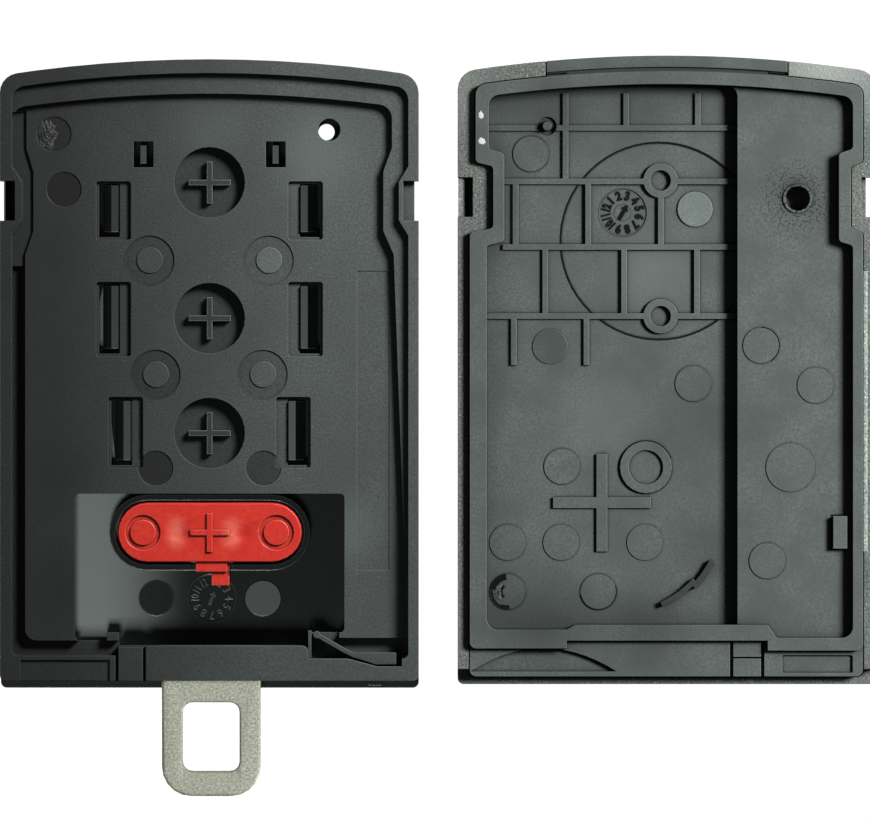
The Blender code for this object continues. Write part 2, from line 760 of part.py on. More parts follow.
def front_tray(material):
    """The matte inner frame with its rim, ledge, plate, windows and foot bars."""
    node, seat = tray_block()
    tools = combine(node, "UNION", [seat])
    rim = stepped_outline(rim_left_insets, rim_right_insets, rim_top_inset, foot_steps(bar_corner_radius),
                          rim_jog, rim_jog, cavity_corner_radius)
    ledge = stepped_outline(rim_left_insets, ledge_right_insets, ledge_top_inset,
                            foot_steps(bar_corner_radius), rim_jog, ledge_jog, cavity_corner_radius)
    hollow = rectangle(hollow_inset - edge_x, edge_x - hollow_inset, hollow_foot_share * case_length,
                       case_length - hollow_inset - crown_rise, cavity_corner_radius)
    cavity = [prism("over the ledge", rim, ledge_height, rim_height + overrun),
              prism("over the plate", ledge, plate_height, ledge_height + overrun / 2),
              prism("under the plate", hollow, tray_bottom - overrun, plate_height - plate_thickness)]
    groove_top = side_groove_top_share * case_length
    wall_x = rim_left_insets[0] - edge_x
    bar_top = left_bar_top_share * case_length
    bar_end = left_bar_end_share * case_width
    gap_top = pocket_corner_foot_share * case_length
    groove = rounded([(wall_x, bar_top, 0), (bar_end, bar_top, 0), (bar_end, gap_top, 0),
                      (side_groove_inset - edge_x, gap_top, plate_corner_radius),
                      (side_groove_inset - edge_x, groove_top, 0), (wall_x, groove_top, 0)])
    shelf_foot = [(rim_left_insets[0] - edge_x, groove_top, 0),
                  (side_shelf_insets[0] - edge_x, groove_top, 0)]
    shelf_right = [case_width - inset for inset in side_shelf_insets]
    shelf = stepped_outline(rim_left_insets, shelf_right, ledge_top_inset + jog_radius, shelf_foot,
                            rim_jog, ledge_jog, jog_radius)
    cavity += [prism("side groove", groove, groove_floor, ledge_height),
               prism("side shelf", shelf, plate_height - side_shelf_depth, ledge_height)]
    tools += combine(node, "DIFFERENCE", cavity)
    holes = [circle((0, share * case_length), button_hole_radius) for share in button_heights_shares]
    holes.append(circle(place(led_hole_place_share), led_hole_radius, small_circle_steps))
    holes.append(pocket_outline())
    cuts = [prism("hole", hole, tray_bottom - overrun, plate_height + overrun / 2) for hole in holes]
    notch_middle = notch_centre_share * case_length
    slot = rectangle(notch_depth + fit_gap - edge_x, notch_depth + fit_gap + notch_slot_width - edge_x,
                     notch_middle - notch_length / 2, notch_middle + notch_length / 2)
    cuts.append(prism("notch slot", slot, rim_height - notch_slot_depth, rim_height + overrun))
    notch_shelf = rectangle(edge_x - notch_shelf_inset, edge_x + overrun, notch_middle - notch_length / 2,
                            notch_middle + notch_length / 2)
    cuts.append(prism("notch shelf", notch_shelf, rim_height - notch_shelf_depth, rim_height + overrun))
    tools += combine(node, "DIFFERENCE", cuts + side_notches(rim_height))
    tools += combine(node, "DIFFERENCE", tray_windows() + tray_marks())
    tools += combine(node, "DIFFERENCE", foot_cuts())
    start = main_bar_end_share * case_width
    wall = rectangle(start - merge_distance, start + bay_wall_width,
                     right_bar_top_share * case_length - bay_wall_width,
                     latch_bay_top_share * case_length)
    tools += combine(node, "UNION", [prism("bay wall", wall, groove_floor - overrun / 2, bay_wall_height)])
    settle(node, tools, (front_x, foot_y, 0), material)


def round_button(name, height_share, material):
    """A push button: cap in the skin's hole, flange behind it and a cross for the contact."""
    cap_top = tray_bottom - button_cap_recess
    bevel = button_cap_rounding
    sections = [(0, circle((0, 0), button_cap_radius - bevel)), (bevel, circle((0, 0), button_cap_radius)),
                (cap_top + button_flange_thickness / 2, circle((0, 0), button_cap_radius))]
    node = loft(name, sections)
    flange_top = cap_top + button_flange_thickness
    flange_outline = circle((0, 0), button_hole_radius + button_flange_overlap)
    flange = prism("flange", flange_outline, cap_top, flange_top)
    half = button_cross_length / 2
    thin = button_cross_width / 2
    cross_low = cap_top + button_flange_thickness / 2
    cross_high = flange_top + button_cross_height
    arms = [prism("cross arm", rectangle(-half, half, -thin, thin), cross_low, cross_high),
            prism("cross arm", rectangle(-thin, thin, -half, half), cross_low, cross_high)]
    tools = combine(node, "UNION", [flange, *arms])
    settle(node, tools, (front_x, foot_y + height_share * case_length, button_cap_recess), material)


def panic_button(material):
    """The red oval button with its ring dimples, cross and moulding tab."""
    base = tray_bottom - button_cap_recess
    top = base + panic_thickness
    sections = [(base, stadium((0, 0), panic_length, panic_width)),
                (top - panic_rounding, stadium((0, 0), panic_length, panic_width)),
                (top, stadium((0, 0), panic_length - panic_rounding, panic_width - panic_rounding))]
    node = loft("panic_button", sections)
    cap = prism("cap", stadium((0, 0), panic_cap_length, panic_cap_width), 0, base + panic_rounding)
    half = panic_cross_length / 2
    thin = panic_cross_width / 2
    cross_top = top + panic_cross_height
    arms = [prism("cross arm", rectangle(-half, half, -thin, thin), top - panic_rounding, cross_top),
            prism("cross arm", rectangle(-thin, thin, -half, half), top - panic_rounding, cross_top)]
    edge = -panic_width / 2
    tab_width, tab_drop = panic_tab_size
    tab = rectangle(panic_tab_shift - tab_width / 2, panic_tab_shift + tab_width / 2, edge - tab_drop, 0)
    sprue_width, sprue_drop = panic_sprue_size
    sprue = rectangle(panic_sprue_shift - sprue_width / 2, panic_sprue_shift + sprue_width / 2,
                      edge - tab_drop - sprue_drop, edge)
    tab_low = top - panic_rounding - panic_tab_thickness
    tabs = [prism("tab", tab, tab_low, tab_low + panic_tab_thickness),
            prism("sprue", sprue, tab_low, tab_low + panic_tab_thickness / 2)]
    tools = combine(node, "UNION", [cap, *arms, *tabs])
    cuts = []
    for side in (-1, 1):
        ring = (side * panic_ring_offset, 0)
        cuts.append(tube("ring dimple", circle(ring, panic_ring_radius, small_circle_steps),
                         circle(ring, panic_ring_inner_radius, small_circle_steps), top - panic_ring_depth,
                         top + overrun))
        dip = (side * panic_dip_offset, 0)
        floor = circle(dip, panic_dip_radius / 2, small_circle_steps)
        mouth = circle(dip, panic_dip_radius, small_circle_steps)
        cuts.append(loft("dip", [(top - panic_dip_depth, floor), (top + panic_dip_depth, mouth)]))
    tools += combine(node, "DIFFERENCE", cuts)
    settle(node, tools, (front_x, foot_y + panic_height_share * case_length, button_cap_recess), material)


def key_loop(material):
    """The stamped loop of the insert, with its root in the slot under the main bar."""
    half = loop_width / 2
    drop = loop_drop
    outline = rounded([(-half, -drop, loop_corner_radius), (half, -drop, loop_corner_radius),
                       (half, loop_root, loop_edge_rounding), (-half, loop_root, loop_edge_rounding)])
    node = prism("key_loop", outline, 0, loop_thickness)
    hole_half = loop_hole_width / 2
    hole_low = loop_hole_foot - drop
    hole = rectangle(-hole_half, hole_half, hole_low, hole_low + loop_hole_length, loop_hole_radius)
    tools = combine(node, "DIFFERENCE", [prism("eye", hole, -overrun, loop_thickness + overrun)])
    bevel = node.modifiers.new("Edge rounding", "BEVEL")
    bevel.width = loop_edge_rounding
    bevel.segments = loop_edge_segments
    bevel.limit_method = "ANGLE"
    bevel.angle_limit = math.radians(loop_edge_degrees)
    settle(node, tools, (front_x + loop_offset, foot_y, loop_slot_bottom + loop_clearance), material)


def release_latch(material):
    """A flexing arm from its root to the thumb pad, drawn about the root."""
    root = Vector(place(latch_root_share))
    bend = Vector(place(latch_bend_share)) - root
    heel, knee, tip = (share * case_width - root.x for share in latch_pad_shares)
    low, heel_low, top = (share * case_length - root.y for share in latch_pad_level_shares)
    node = prism("release_latch", circle((0, 0), latch_root_radius, small_circle_steps), 0, latch_thickness)
    arm = prism("arm", bar_between((0, 0), bend, latch_arm_width), 0, latch_thickness)
    pad_start = Vector((heel, (heel_low + top) / 2))
    link_start = bend * (1 - latch_overlap_share)
    link_end = pad_start * (1 + latch_overlap_share)
    link = prism("link", bar_between(link_start, link_end, latch_arm_width), 0, latch_thickness)
    pad_outline = rounded([(heel, heel_low, latch_pad_radius), (knee, low, latch_pad_radius),
                           (tip, low, latch_pad_radius), (tip, top, latch_pad_radius),
                           (heel, top, latch_pad_radius)])
    pad = prism("pad", pad_outline, 0, latch_thickness)
    tools = combine(node, "UNION", [arm, link, pad])
    settle(node, tools, (front_x + root.x, foot_y + root.y, groove_floor + latch_lift), material)


def crown_band(start, end, outer_inset, inner_inset):
    """A band that follows the crown between two x and two insets."""
    xs = [start + (end - start) * step / crown_steps for step in range(crown_steps + 1)]
    outer = [Vector((x, crown(x, outer_inset))) for x in xs]
    inner = [Vector((x, crown(x, inner_inset))) for x in reversed(xs)]
    return inner + outer


def strip_outline(growth, reach):
    """The strip under the crown, from its outer edge in to the lip."""
    half = strip_half_width + growth
    return crown_band(-half, half, -reach, lip_top_inset + rib_width)


def lip_outline(groove, foot):
    """The lip's outer outline, grown by the groove that parts it from the frame."""
    left = tuple(inset - groove for inset in lip_left_insets)
    right = tuple(inset - groove for inset in lip_right_insets)
    corners = []
    for x, y, radius, at_side in foot:
        growth = math.copysign(groove, x) if at_side else 0
        corners.append((x + growth, y, radius))
    return stepped_outline(left, right, lip_top_inset - groove, corners, lip_jog, lip_jog,
                           liner_corner_radius + groove)


def level_foot(level):
    """A straight foot for the liner's outline."""
    return [(lip_left_insets[0] - edge_x, level, foot_corner_radius, True),
            (edge_x - lip_right_insets[0], level, foot_corner_radius, True)]


def lip_foot():
    """Corners along the lower edge of the lip, which clears the tray's bars when the case is closed."""
    middle = main_bar_top_share * case_length + fit_gap
    right = left_bar_top_share * case_length + fit_gap
    turn_left = foot_bend_left_share * case_width
    turn_right = foot_bend_right_share * case_width
    return [(lip_left_insets[0] - edge_x, lip_left_foot, foot_corner_radius, True),
            (turn_left, lip_left_foot, 0, False), (turn_left, middle, 0, False),
            (turn_right, middle, 0, False), (turn_right, right, 0, False),
            (edge_x - lip_right_insets[0], right, foot_corner_radius, True)]


def notch_slots(top):
    """Cutters of the slots that run in behind both side notches."""
    middle = notch_centre_share * case_length
    inner = edge_x - notch_depth - fit_gap
    cuts = []
    for side in (-1, 1):
        outline = mirrored_rectangle(inner - notch_slot_width, inner, middle - notch_length / 2,
                                     middle + notch_length / 2, side)
        cuts.append(prism("notch slot", outline, top - notch_slot_depth, top + overrun))
    return cuts


def rear_cover(material, parent):
    """The outer shell of the back, open inside to take the liner."""
    node = face_block("rear_cover", rear_frame_height)
    inside = prism("inside", lip_outline(fit_gap, level_foot(rear_foot_wall)), rear_floor,
                   rear_frame_height + overrun)
    foot_outline = rectangle(-edge_x - overrun, edge_x + overrun, -overrun, rear_foot_wall + overrun)
    foot = prism("foot cut", foot_outline, rear_foot_height, rear_frame_height + overrun)
    strip = prism("strip seat", strip_outline(fit_gap, overrun), strip_bottom - fit_gap,
                  rear_frame_height + overrun)
    tools = combine(node, "DIFFERENCE", [inside, foot, strip, *side_notches(rear_frame_height)])
    slot_low, slot_high = (share * case_length for share in side_slot_shares)
    inner = edge_x - lip_right_insets[0]
    slot_outline = rectangle(inner - fit_gap, inner + side_slot_width, slot_low, slot_high)
    side_slot = prism("side slot", slot_outline, rear_frame_height - side_slot_depth,
                      rear_frame_height + overrun)
    tools += combine(node, "DIFFERENCE", [side_slot, *notch_slots(rear_frame_height)])
    settle(node, tools, (rear_x, rear_foot_y, -pivot_z), material, parent)


def rib_grid():
    """The low ribs on the liner's floor, a ladder of rows and posts."""
    low = liner_floor - rib_height
    high = liner_floor + rib_height
    half = rib_width / 2
    wall = panel_edge_share * case_width + half
    rows = [share * case_length for share in rib_row_shares]
    shapes = []
    for row, start_share in zip(rows, rib_left_shares):
        outline = rectangle(start_share * case_width, wall, row - half, row + half)
        shapes.append(prism("rib row", outline, low, high))
    top = case_length - well_top_inset - crown_rise / 2
    spans = ((top, rows[0], rib_above_shares), (rows[0], rows[1], rib_first_shares),
             (rows[1], rows[2], rib_second_shares), (rows[2], rows[3], rib_third_shares),
             (rows[3], rib_foot_share * case_length, rib_hanging_shares))
    for upper, lower, shares in spans:
        for share in shares:
            x = share * case_width
            shapes.append(prism("rib post", rectangle(x - half, x + half, lower, upper), low, high))
    return shapes


def arc_ribs():
    """Two short curved ribs near the foot of the panel, one behind the other."""
    centre = place(arc_rib_centre_share)
    shapes = []
    for index, (start, end) in enumerate(arc_rib_degrees):
        radius = arc_rib_radius + index * arc_rib_offset
        outline = []
        for edge, angles in ((radius + arc_rib_width, (start, end)), (radius, (end, start))):
            for step in range(corner_steps + 1):
                angle = math.radians(angles[0] + (angles[1] - angles[0]) * step / corner_steps)
                outline.append(Vector((centre[0] + edge * math.cos(angle),
                                       centre[1] + edge * math.sin(angle))))
        shapes.append(prism("arc rib", outline, liner_floor - rib_height, liner_floor + arc_rib_height))
    return shapes


def liner_bosses():
    """Ring bosses, the plus rib and the locating pin on the liner's floor."""
    low = liner_floor - rib_height
    high = liner_floor + rib_height
    shapes = []
    for share in ring_boss_places_shares:
        centre = place(share)
        shapes.append(tube("ring boss", circle(centre, ring_boss_radius, small_circle_steps),
                           circle(centre, ring_boss_bore, small_circle_steps), low, high))
    centre = place(round_boss_place_share)
    shapes.append(tube("round boss", circle(centre, round_boss_radius, small_circle_steps),
                       circle(centre, round_boss_bore, small_circle_steps), low, high))
    x, y = place(plus_place_share)
    half = plus_length / 2
    thin = plus_width / 2
    shapes.append(prism("plus arm", rectangle(x - half, x + half, y - thin, y + thin), low, high))
    shapes.append(prism("plus arm", rectangle(x - thin, x + thin, y - half, y + half), low, high))
    pin = place(pin_place_share)
    sections = [(liner_floor - pin_moat_depth - overrun / 4, circle(pin, pin_radius, small_circle_steps)),
                (liner_floor + rib_height, circle(pin, pin_radius, small_circle_steps)),
                (pin_height, circle(pin, pin_tip_radius, small_circle_steps))]
    shapes.append(loft("locating pin", sections))
    return shapes


def floor_sinks():
    """Cutters of the dial, the bores of the ring bosses and the moat round the pin's foot."""
    high = liner_floor + overrun
    cuts = [prism("date dial", circle(place(rear_dial_place_share), rear_dial_radius, small_circle_steps),
                  liner_floor - 2 * liner_disc_step, high)]
    for share in ring_boss_places_shares:
        cuts.append(prism("boss bore", circle(place(share), ring_boss_bore, small_circle_steps),
                          liner_floor - boss_bore_depth, high))
    pin = place(pin_place_share)
    cuts.append(tube("pin moat", circle(pin, pin_moat_radius, small_circle_steps),
                     circle(pin, pin_radius, small_circle_steps), liner_floor - pin_moat_depth, high))
    return cuts


def floor_cut():
    """The deep part of the well, left of the raised panel."""
    left_turn = foot_bend_left_share * case_width
    panel_left = panel_edge_share * case_width
    side = edge_x - panel_left
    foot = [(well_left_insets[0] - edge_x, well_left_foot, liner_corner_radius),
            (left_turn, well_left_foot, pocket_corner_radius),
            (left_turn + foot_bend_run, well_middle_foot, pocket_corner_radius),
            (panel_left, well_middle_foot, 0)]
    outline = stepped_outline(well_left_insets, (side, side, side), well_top_inset, foot,
                              well_jog, well_jog, liner_corner_radius)
    return prism("well floor", outline, liner_floor, rear_frame_height + overrun)


def panel_cut():
    """The shallow part of the well, down to the panel's face."""
    left_turn = foot_bend_left_share * case_width
    right_turn = foot_bend_right_share * case_width
    foot = [(well_left_insets[0] - edge_x, well_left_foot, liner_corner_radius),
            (left_turn, well_left_foot, pocket_corner_radius),
            (left_turn + foot_bend_run, well_middle_foot, pocket_corner_radius),
            (right_turn, well_middle_foot, pocket_corner_radius),
            (right_turn + foot_bend_run, well_right_foot, pocket_corner_radius),
            (edge_x - well_right_insets[0], well_right_foot, liner_corner_radius)]
    outline = stepped_outline(well_left_insets, well_right_insets, well_top_inset, foot,
                              well_jog, well_jog, liner_corner_radius)
    return prism("well", outline, liner_floor + panel_rise, rear_frame_height + lip_rise + overrun)


def channel_cut():
    """The hollow under the panel, where the blade of the key would slide."""
    outline = rectangle(panel_edge_share * case_width + panel_wall,
                        edge_x - well_right_insets[1] - panel_wall, well_middle_foot,
                        case_length - well_top_inset - crown_rise - panel_wall, liner_corner_radius)
    return prism("blade channel", outline, liner_bottom - overrun, liner_floor + panel_rise - panel_wall)


def cell_cut():
    """The shallow round seat of the coin cell, which stops at the panel's wall."""
    limit = panel_edge_share * case_width
    points = circle(place(cell_centre_share), cell_radius, 2 * circle_steps)
    outline = [Vector((min(point.x, limit), point.y)) for point in points]
    return prism("cell seat", outline, liner_floor - cell_step, liner_floor + overrun)


def marks(places_shares, radius, low, high):
    """Flat round marks of the moulding tool at the places given."""
    return [prism("disc", circle(place(share), radius, small_circle_steps), low, high)
            for share in places_shares]


def foot_details():
    """Cutters on the liner's foot: two slots, the line between them, a step and the lens-shaped recess."""
    low = rear_frame_height - foot_line_depth
    high = rear_frame_height + lip_rise / 2
    top = main_bar_top_share * case_length
    cuts = []
    for share in foot_block_shares:
        x = share * case_width
        cuts.append(prism("foot slot", rectangle(x, x + foot_line_width, -overrun, top), low, high))
    start, end = (share * case_width for share in foot_block_shares)
    line = foot_block_line_share * case_length
    cuts.append(prism("block line", rectangle(start + foot_line_width / 2, end + foot_line_width / 2,
                                              line, line + foot_line_width / 2), low, high))
    step = rectangle(foot_step_share * case_width, edge_x - well_right_insets[0],
                     liner_foot_inset + foot_line_width,
                     left_bar_top_share * case_length - foot_line_width, foot_line_width / 2)
    cuts.append(prism("foot step", step, rear_frame_height - foot_step_depth, high))
    middle = lens_centre_share * case_width
    outline = []
    for index in range(lens_steps + 1):
        across = 1 - 2 * index / lens_steps
        rise = lens_rise * (1 - across ** 2)
        outline.append(Vector((middle + across * lens_half_width, lens_foot + rise)))
    cuts.append(prism("lens recess", outline, rear_frame_height - lens_depth, high))
    return cuts


def clip_shapes():
    """The small clip beside the panel's right wall, and the recess that it stands in."""
    x, y = place(clip_centre_share)
    top = liner_floor + panel_rise
    half_width, half_length = clip_size[0] / 2, clip_size[1] / 2
    recess = rectangle(x - half_width - clip_recess, x + half_width, y - half_length - clip_recess / 2,
                       y + half_length + clip_recess / 2)
    block = rectangle(x - half_width, x + half_width, y - half_length, y + half_length)
    return (prism("clip recess", recess, top - clip_recess, top + overrun),
            prism("clip", block, top - panel_wall / 2 - clip_recess / 2, top + clip_height))


def rear_liner(material, parent):
    """The smooth inner moulding: lip, floor, ribs, raised panel and foot."""
    base = lip_outline(0, level_foot(liner_foot_inset))
    node = prism("rear_liner", base, liner_bottom, rear_frame_height)
    lip = prism("lip", lip_outline(0, lip_foot()), rear_frame_height - overrun,
                rear_frame_height + lip_rise)
    strip = prism("strip", strip_outline(0, 0), strip_bottom, rear_frame_height)
    tools = combine(node, "UNION", [lip, strip])
    tools += combine(node, "DIFFERENCE", [panel_cut(), floor_cut(), channel_cut()])
    clip_seat, clip = clip_shapes()
    face = liner_floor + panel_rise
    hole = prism("panel hole", circle(place(panel_hole_place_share), panel_hole_radius, small_circle_steps),
                 liner_floor, face + overrun)
    high = rear_frame_height + lip_rise / 2
    line = crown_band(-strip_half_width, strip_half_width, strip_inset, strip_inset + foot_line_width)
    lines = [prism("strip line", line, rear_frame_height - strip_line_depth, high)]
    for side in (-1, 1):
        ends = sorted((side * strip_half_width, side * (strip_half_width - strip_end_length)))
        band = crown_band(*ends, strip_inset + foot_line_width / 2, strip_inset + foot_line_width)
        lines.append(prism("strip end", band, rear_frame_height - strip_end_depth, high))
    tools += combine(node, "DIFFERENCE", [cell_cut(), clip_seat, hole, *lines, *foot_details()])
    raised = liner_bosses() + rib_grid() + arc_ribs() + [clip]
    raised += marks(liner_disc_places_shares, liner_disc_radius, liner_floor - rib_height,
                    liner_floor + liner_disc_step)
    raised += marks(panel_disc_places_shares, panel_disc_radius, face - rib_height, face + liner_disc_step)
    raised += marks([panel_dial_place_share], panel_dial_radius, face - rib_height, face + liner_disc_step)
    centre = place(panel_hole_place_share)
    raised.append(tube("hole rim", circle(centre, panel_rim_radius, small_circle_steps),
                       circle(centre, panel_hole_radius, small_circle_steps), face - rib_height,
                       face + panel_rim_height))
    tools += combine(node, "UNION", raised)
    tools += combine(node, "DIFFERENCE", floor_sinks())
    settle(node, tools, (rear_x, rear_foot_y, -pivot_z), material, parent)


def build():
    """Clears the scene and models the case."""
    for old in list(bpy.data.objects):
        bpy.data.objects.remove(old, do_unlink=True)
    skin = finish("glossy black plastic", (0.012, 0.012, 0.013), 0.12)
    frame = finish("dark glass-filled plastic", (0.045, 0.048, 0.047), 0.62)
    keys = finish("dark moulded plastic", (0.035, 0.036, 0.037), 0.55)
    red = finish("red plastic", (0.72, 0.05, 0.035), 0.38)
    steel = finish("nickel silver", (0.52, 0.5, 0.43), 0.32, 1.0)
    shell = finish("grained dark plastic", (0.1, 0.105, 0.1), 0.7)
    liner = finish("moulded grey plastic", (0.085, 0.092, 0.09), 0.5)
    front_cover(skin)
    front_tray(frame)
    for name, share in zip(button_names, button_heights_shares):
        round_button(name, share, keys)
    panic_button(red)
    key_loop(steel)
    release_latch(frame)
    pivot = bpy.data.objects.new("rear_half_turn", None)
    pivot.location = (0, 0, pivot_z)
    bpy.context.collection.objects.link(pivot)
    rear_cover(shell, pivot)
    rear_liner(liner, pivot)


build()
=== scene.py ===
# The opened remote case on a backlit table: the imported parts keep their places,
# and each gets the finish of its own plastic or metal, with small raised details added.
import json
import math
import bmesh
import bpy
import mathutils
import numpy as np
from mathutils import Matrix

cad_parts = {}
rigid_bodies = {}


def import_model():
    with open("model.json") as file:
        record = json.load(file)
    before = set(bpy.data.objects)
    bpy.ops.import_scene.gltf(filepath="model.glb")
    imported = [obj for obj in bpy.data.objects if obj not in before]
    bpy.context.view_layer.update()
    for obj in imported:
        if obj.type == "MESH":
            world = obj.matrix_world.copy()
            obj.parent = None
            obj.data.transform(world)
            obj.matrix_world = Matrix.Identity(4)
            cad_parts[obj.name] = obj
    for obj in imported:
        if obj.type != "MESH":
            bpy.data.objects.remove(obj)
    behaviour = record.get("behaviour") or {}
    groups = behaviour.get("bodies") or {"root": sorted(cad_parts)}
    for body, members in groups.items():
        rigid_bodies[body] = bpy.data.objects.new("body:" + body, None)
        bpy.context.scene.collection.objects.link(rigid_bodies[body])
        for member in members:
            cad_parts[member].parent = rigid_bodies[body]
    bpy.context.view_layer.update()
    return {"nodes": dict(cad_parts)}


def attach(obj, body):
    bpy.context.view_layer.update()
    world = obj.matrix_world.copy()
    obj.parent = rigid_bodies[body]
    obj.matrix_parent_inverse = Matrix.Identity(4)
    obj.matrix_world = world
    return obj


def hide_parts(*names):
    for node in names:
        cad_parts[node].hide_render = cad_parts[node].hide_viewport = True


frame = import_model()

mm = 0.001


def toLinear(hexText):
    # sRGB hex to linear: each channel over 12.92 when dark, else ((c + 0.055) / 1.055) to the 2.4
    channels = np.array([int(hexText[i:i + 2], 16) for i in (0, 2, 4)]) / 255
    linear = np.where(channels <= 0.04045, channels / 12.92, ((channels + 0.055) / 1.055) ** 2.4)
    return (*linear.tolist(), 1.0)


def addNode(tree, kind, inputs=None, **settings):
    # One node with its settings; an input takes either a value or the socket that feeds it
    node = tree.nodes.new(kind)
    for name, value in settings.items():
        setattr(node, name, value)
    for name, value in (inputs or {}).items():
        if isinstance(value, bpy.types.NodeSocket):
            tree.links.new(value, node.inputs[name])
        else:
            node.inputs[name].default_value = value
    return node


def startMaterial(name, values):
    # A material whose shader takes the values that are the same all over the surface
    material = bpy.data.materials.new(name)
    material.use_nodes = True
    shader = material.node_tree.nodes["Principled BSDF"]
    for socket, value in values.items():
        shader.inputs[socket].default_value = value
    return material, material.node_tree, shader


def grain(tree, place, size, detail, span):
    # Noise whose lumps are about size across, stretched so that the span of it fills 0 to 1
    noise = addNode(tree, "ShaderNodeTexNoise",
                    {"Vector": place, "Scale": 1 / size, "Detail": detail}).outputs["Fac"]
    return addNode(tree, "ShaderNodeMapRange",
                   {"Value": noise, "From Min": span[0], "From Max": span[1]}).outputs["Result"]


def closeness(tree, place, x, y, reach):
    # 1 at the place x, y, falling smoothly to 0 at the distance reach, whatever the height (in mm)
    level = addNode(tree, "ShaderNodeVectorMath", {0: place, 1: (1, 1, 0)},
                    operation="MULTIPLY").outputs[0]
    away = addNode(tree, "ShaderNodeVectorMath", {0: level, 1: (x * mm, y * mm, 0)},
                   operation="DISTANCE").outputs["Value"]
    return addNode(tree, "ShaderNodeMapRange",
                   {"Value": away, "From Max": reach * mm, "To Min": 1.0, "To Max": 0.0},
                   interpolation_type="SMOOTHSTEP").outputs["Result"]


# What the moulded finishes share. A span is the part of a pattern, or of the open sky that a
# point sees, that is stretched to the whole range; bumpDepth is a share of the grain's size.
mouldedSettings = {
    "flowDetail": 3.0, "flowSpan": (0.3, 0.7), "grainDetail": 1.0, "grainSpan": (0.25, 0.75),
    "fleckDetail": 0.0, "fleckWidth": 0.08, "edgeSpan": (0.95, 0.6), "cornerSpan": (0.5, 0.9),
    "pitSize": 0.28 * mm, "pitDetail": 0.0, "pitSpan": (0.56, 0.61), "pitColour": "171A19",
    "scatter": (1.0, 0.25, 0.15), "scatterReach": 0.6 * mm, "bumpDepth": 0.25, "samples": 6,
}


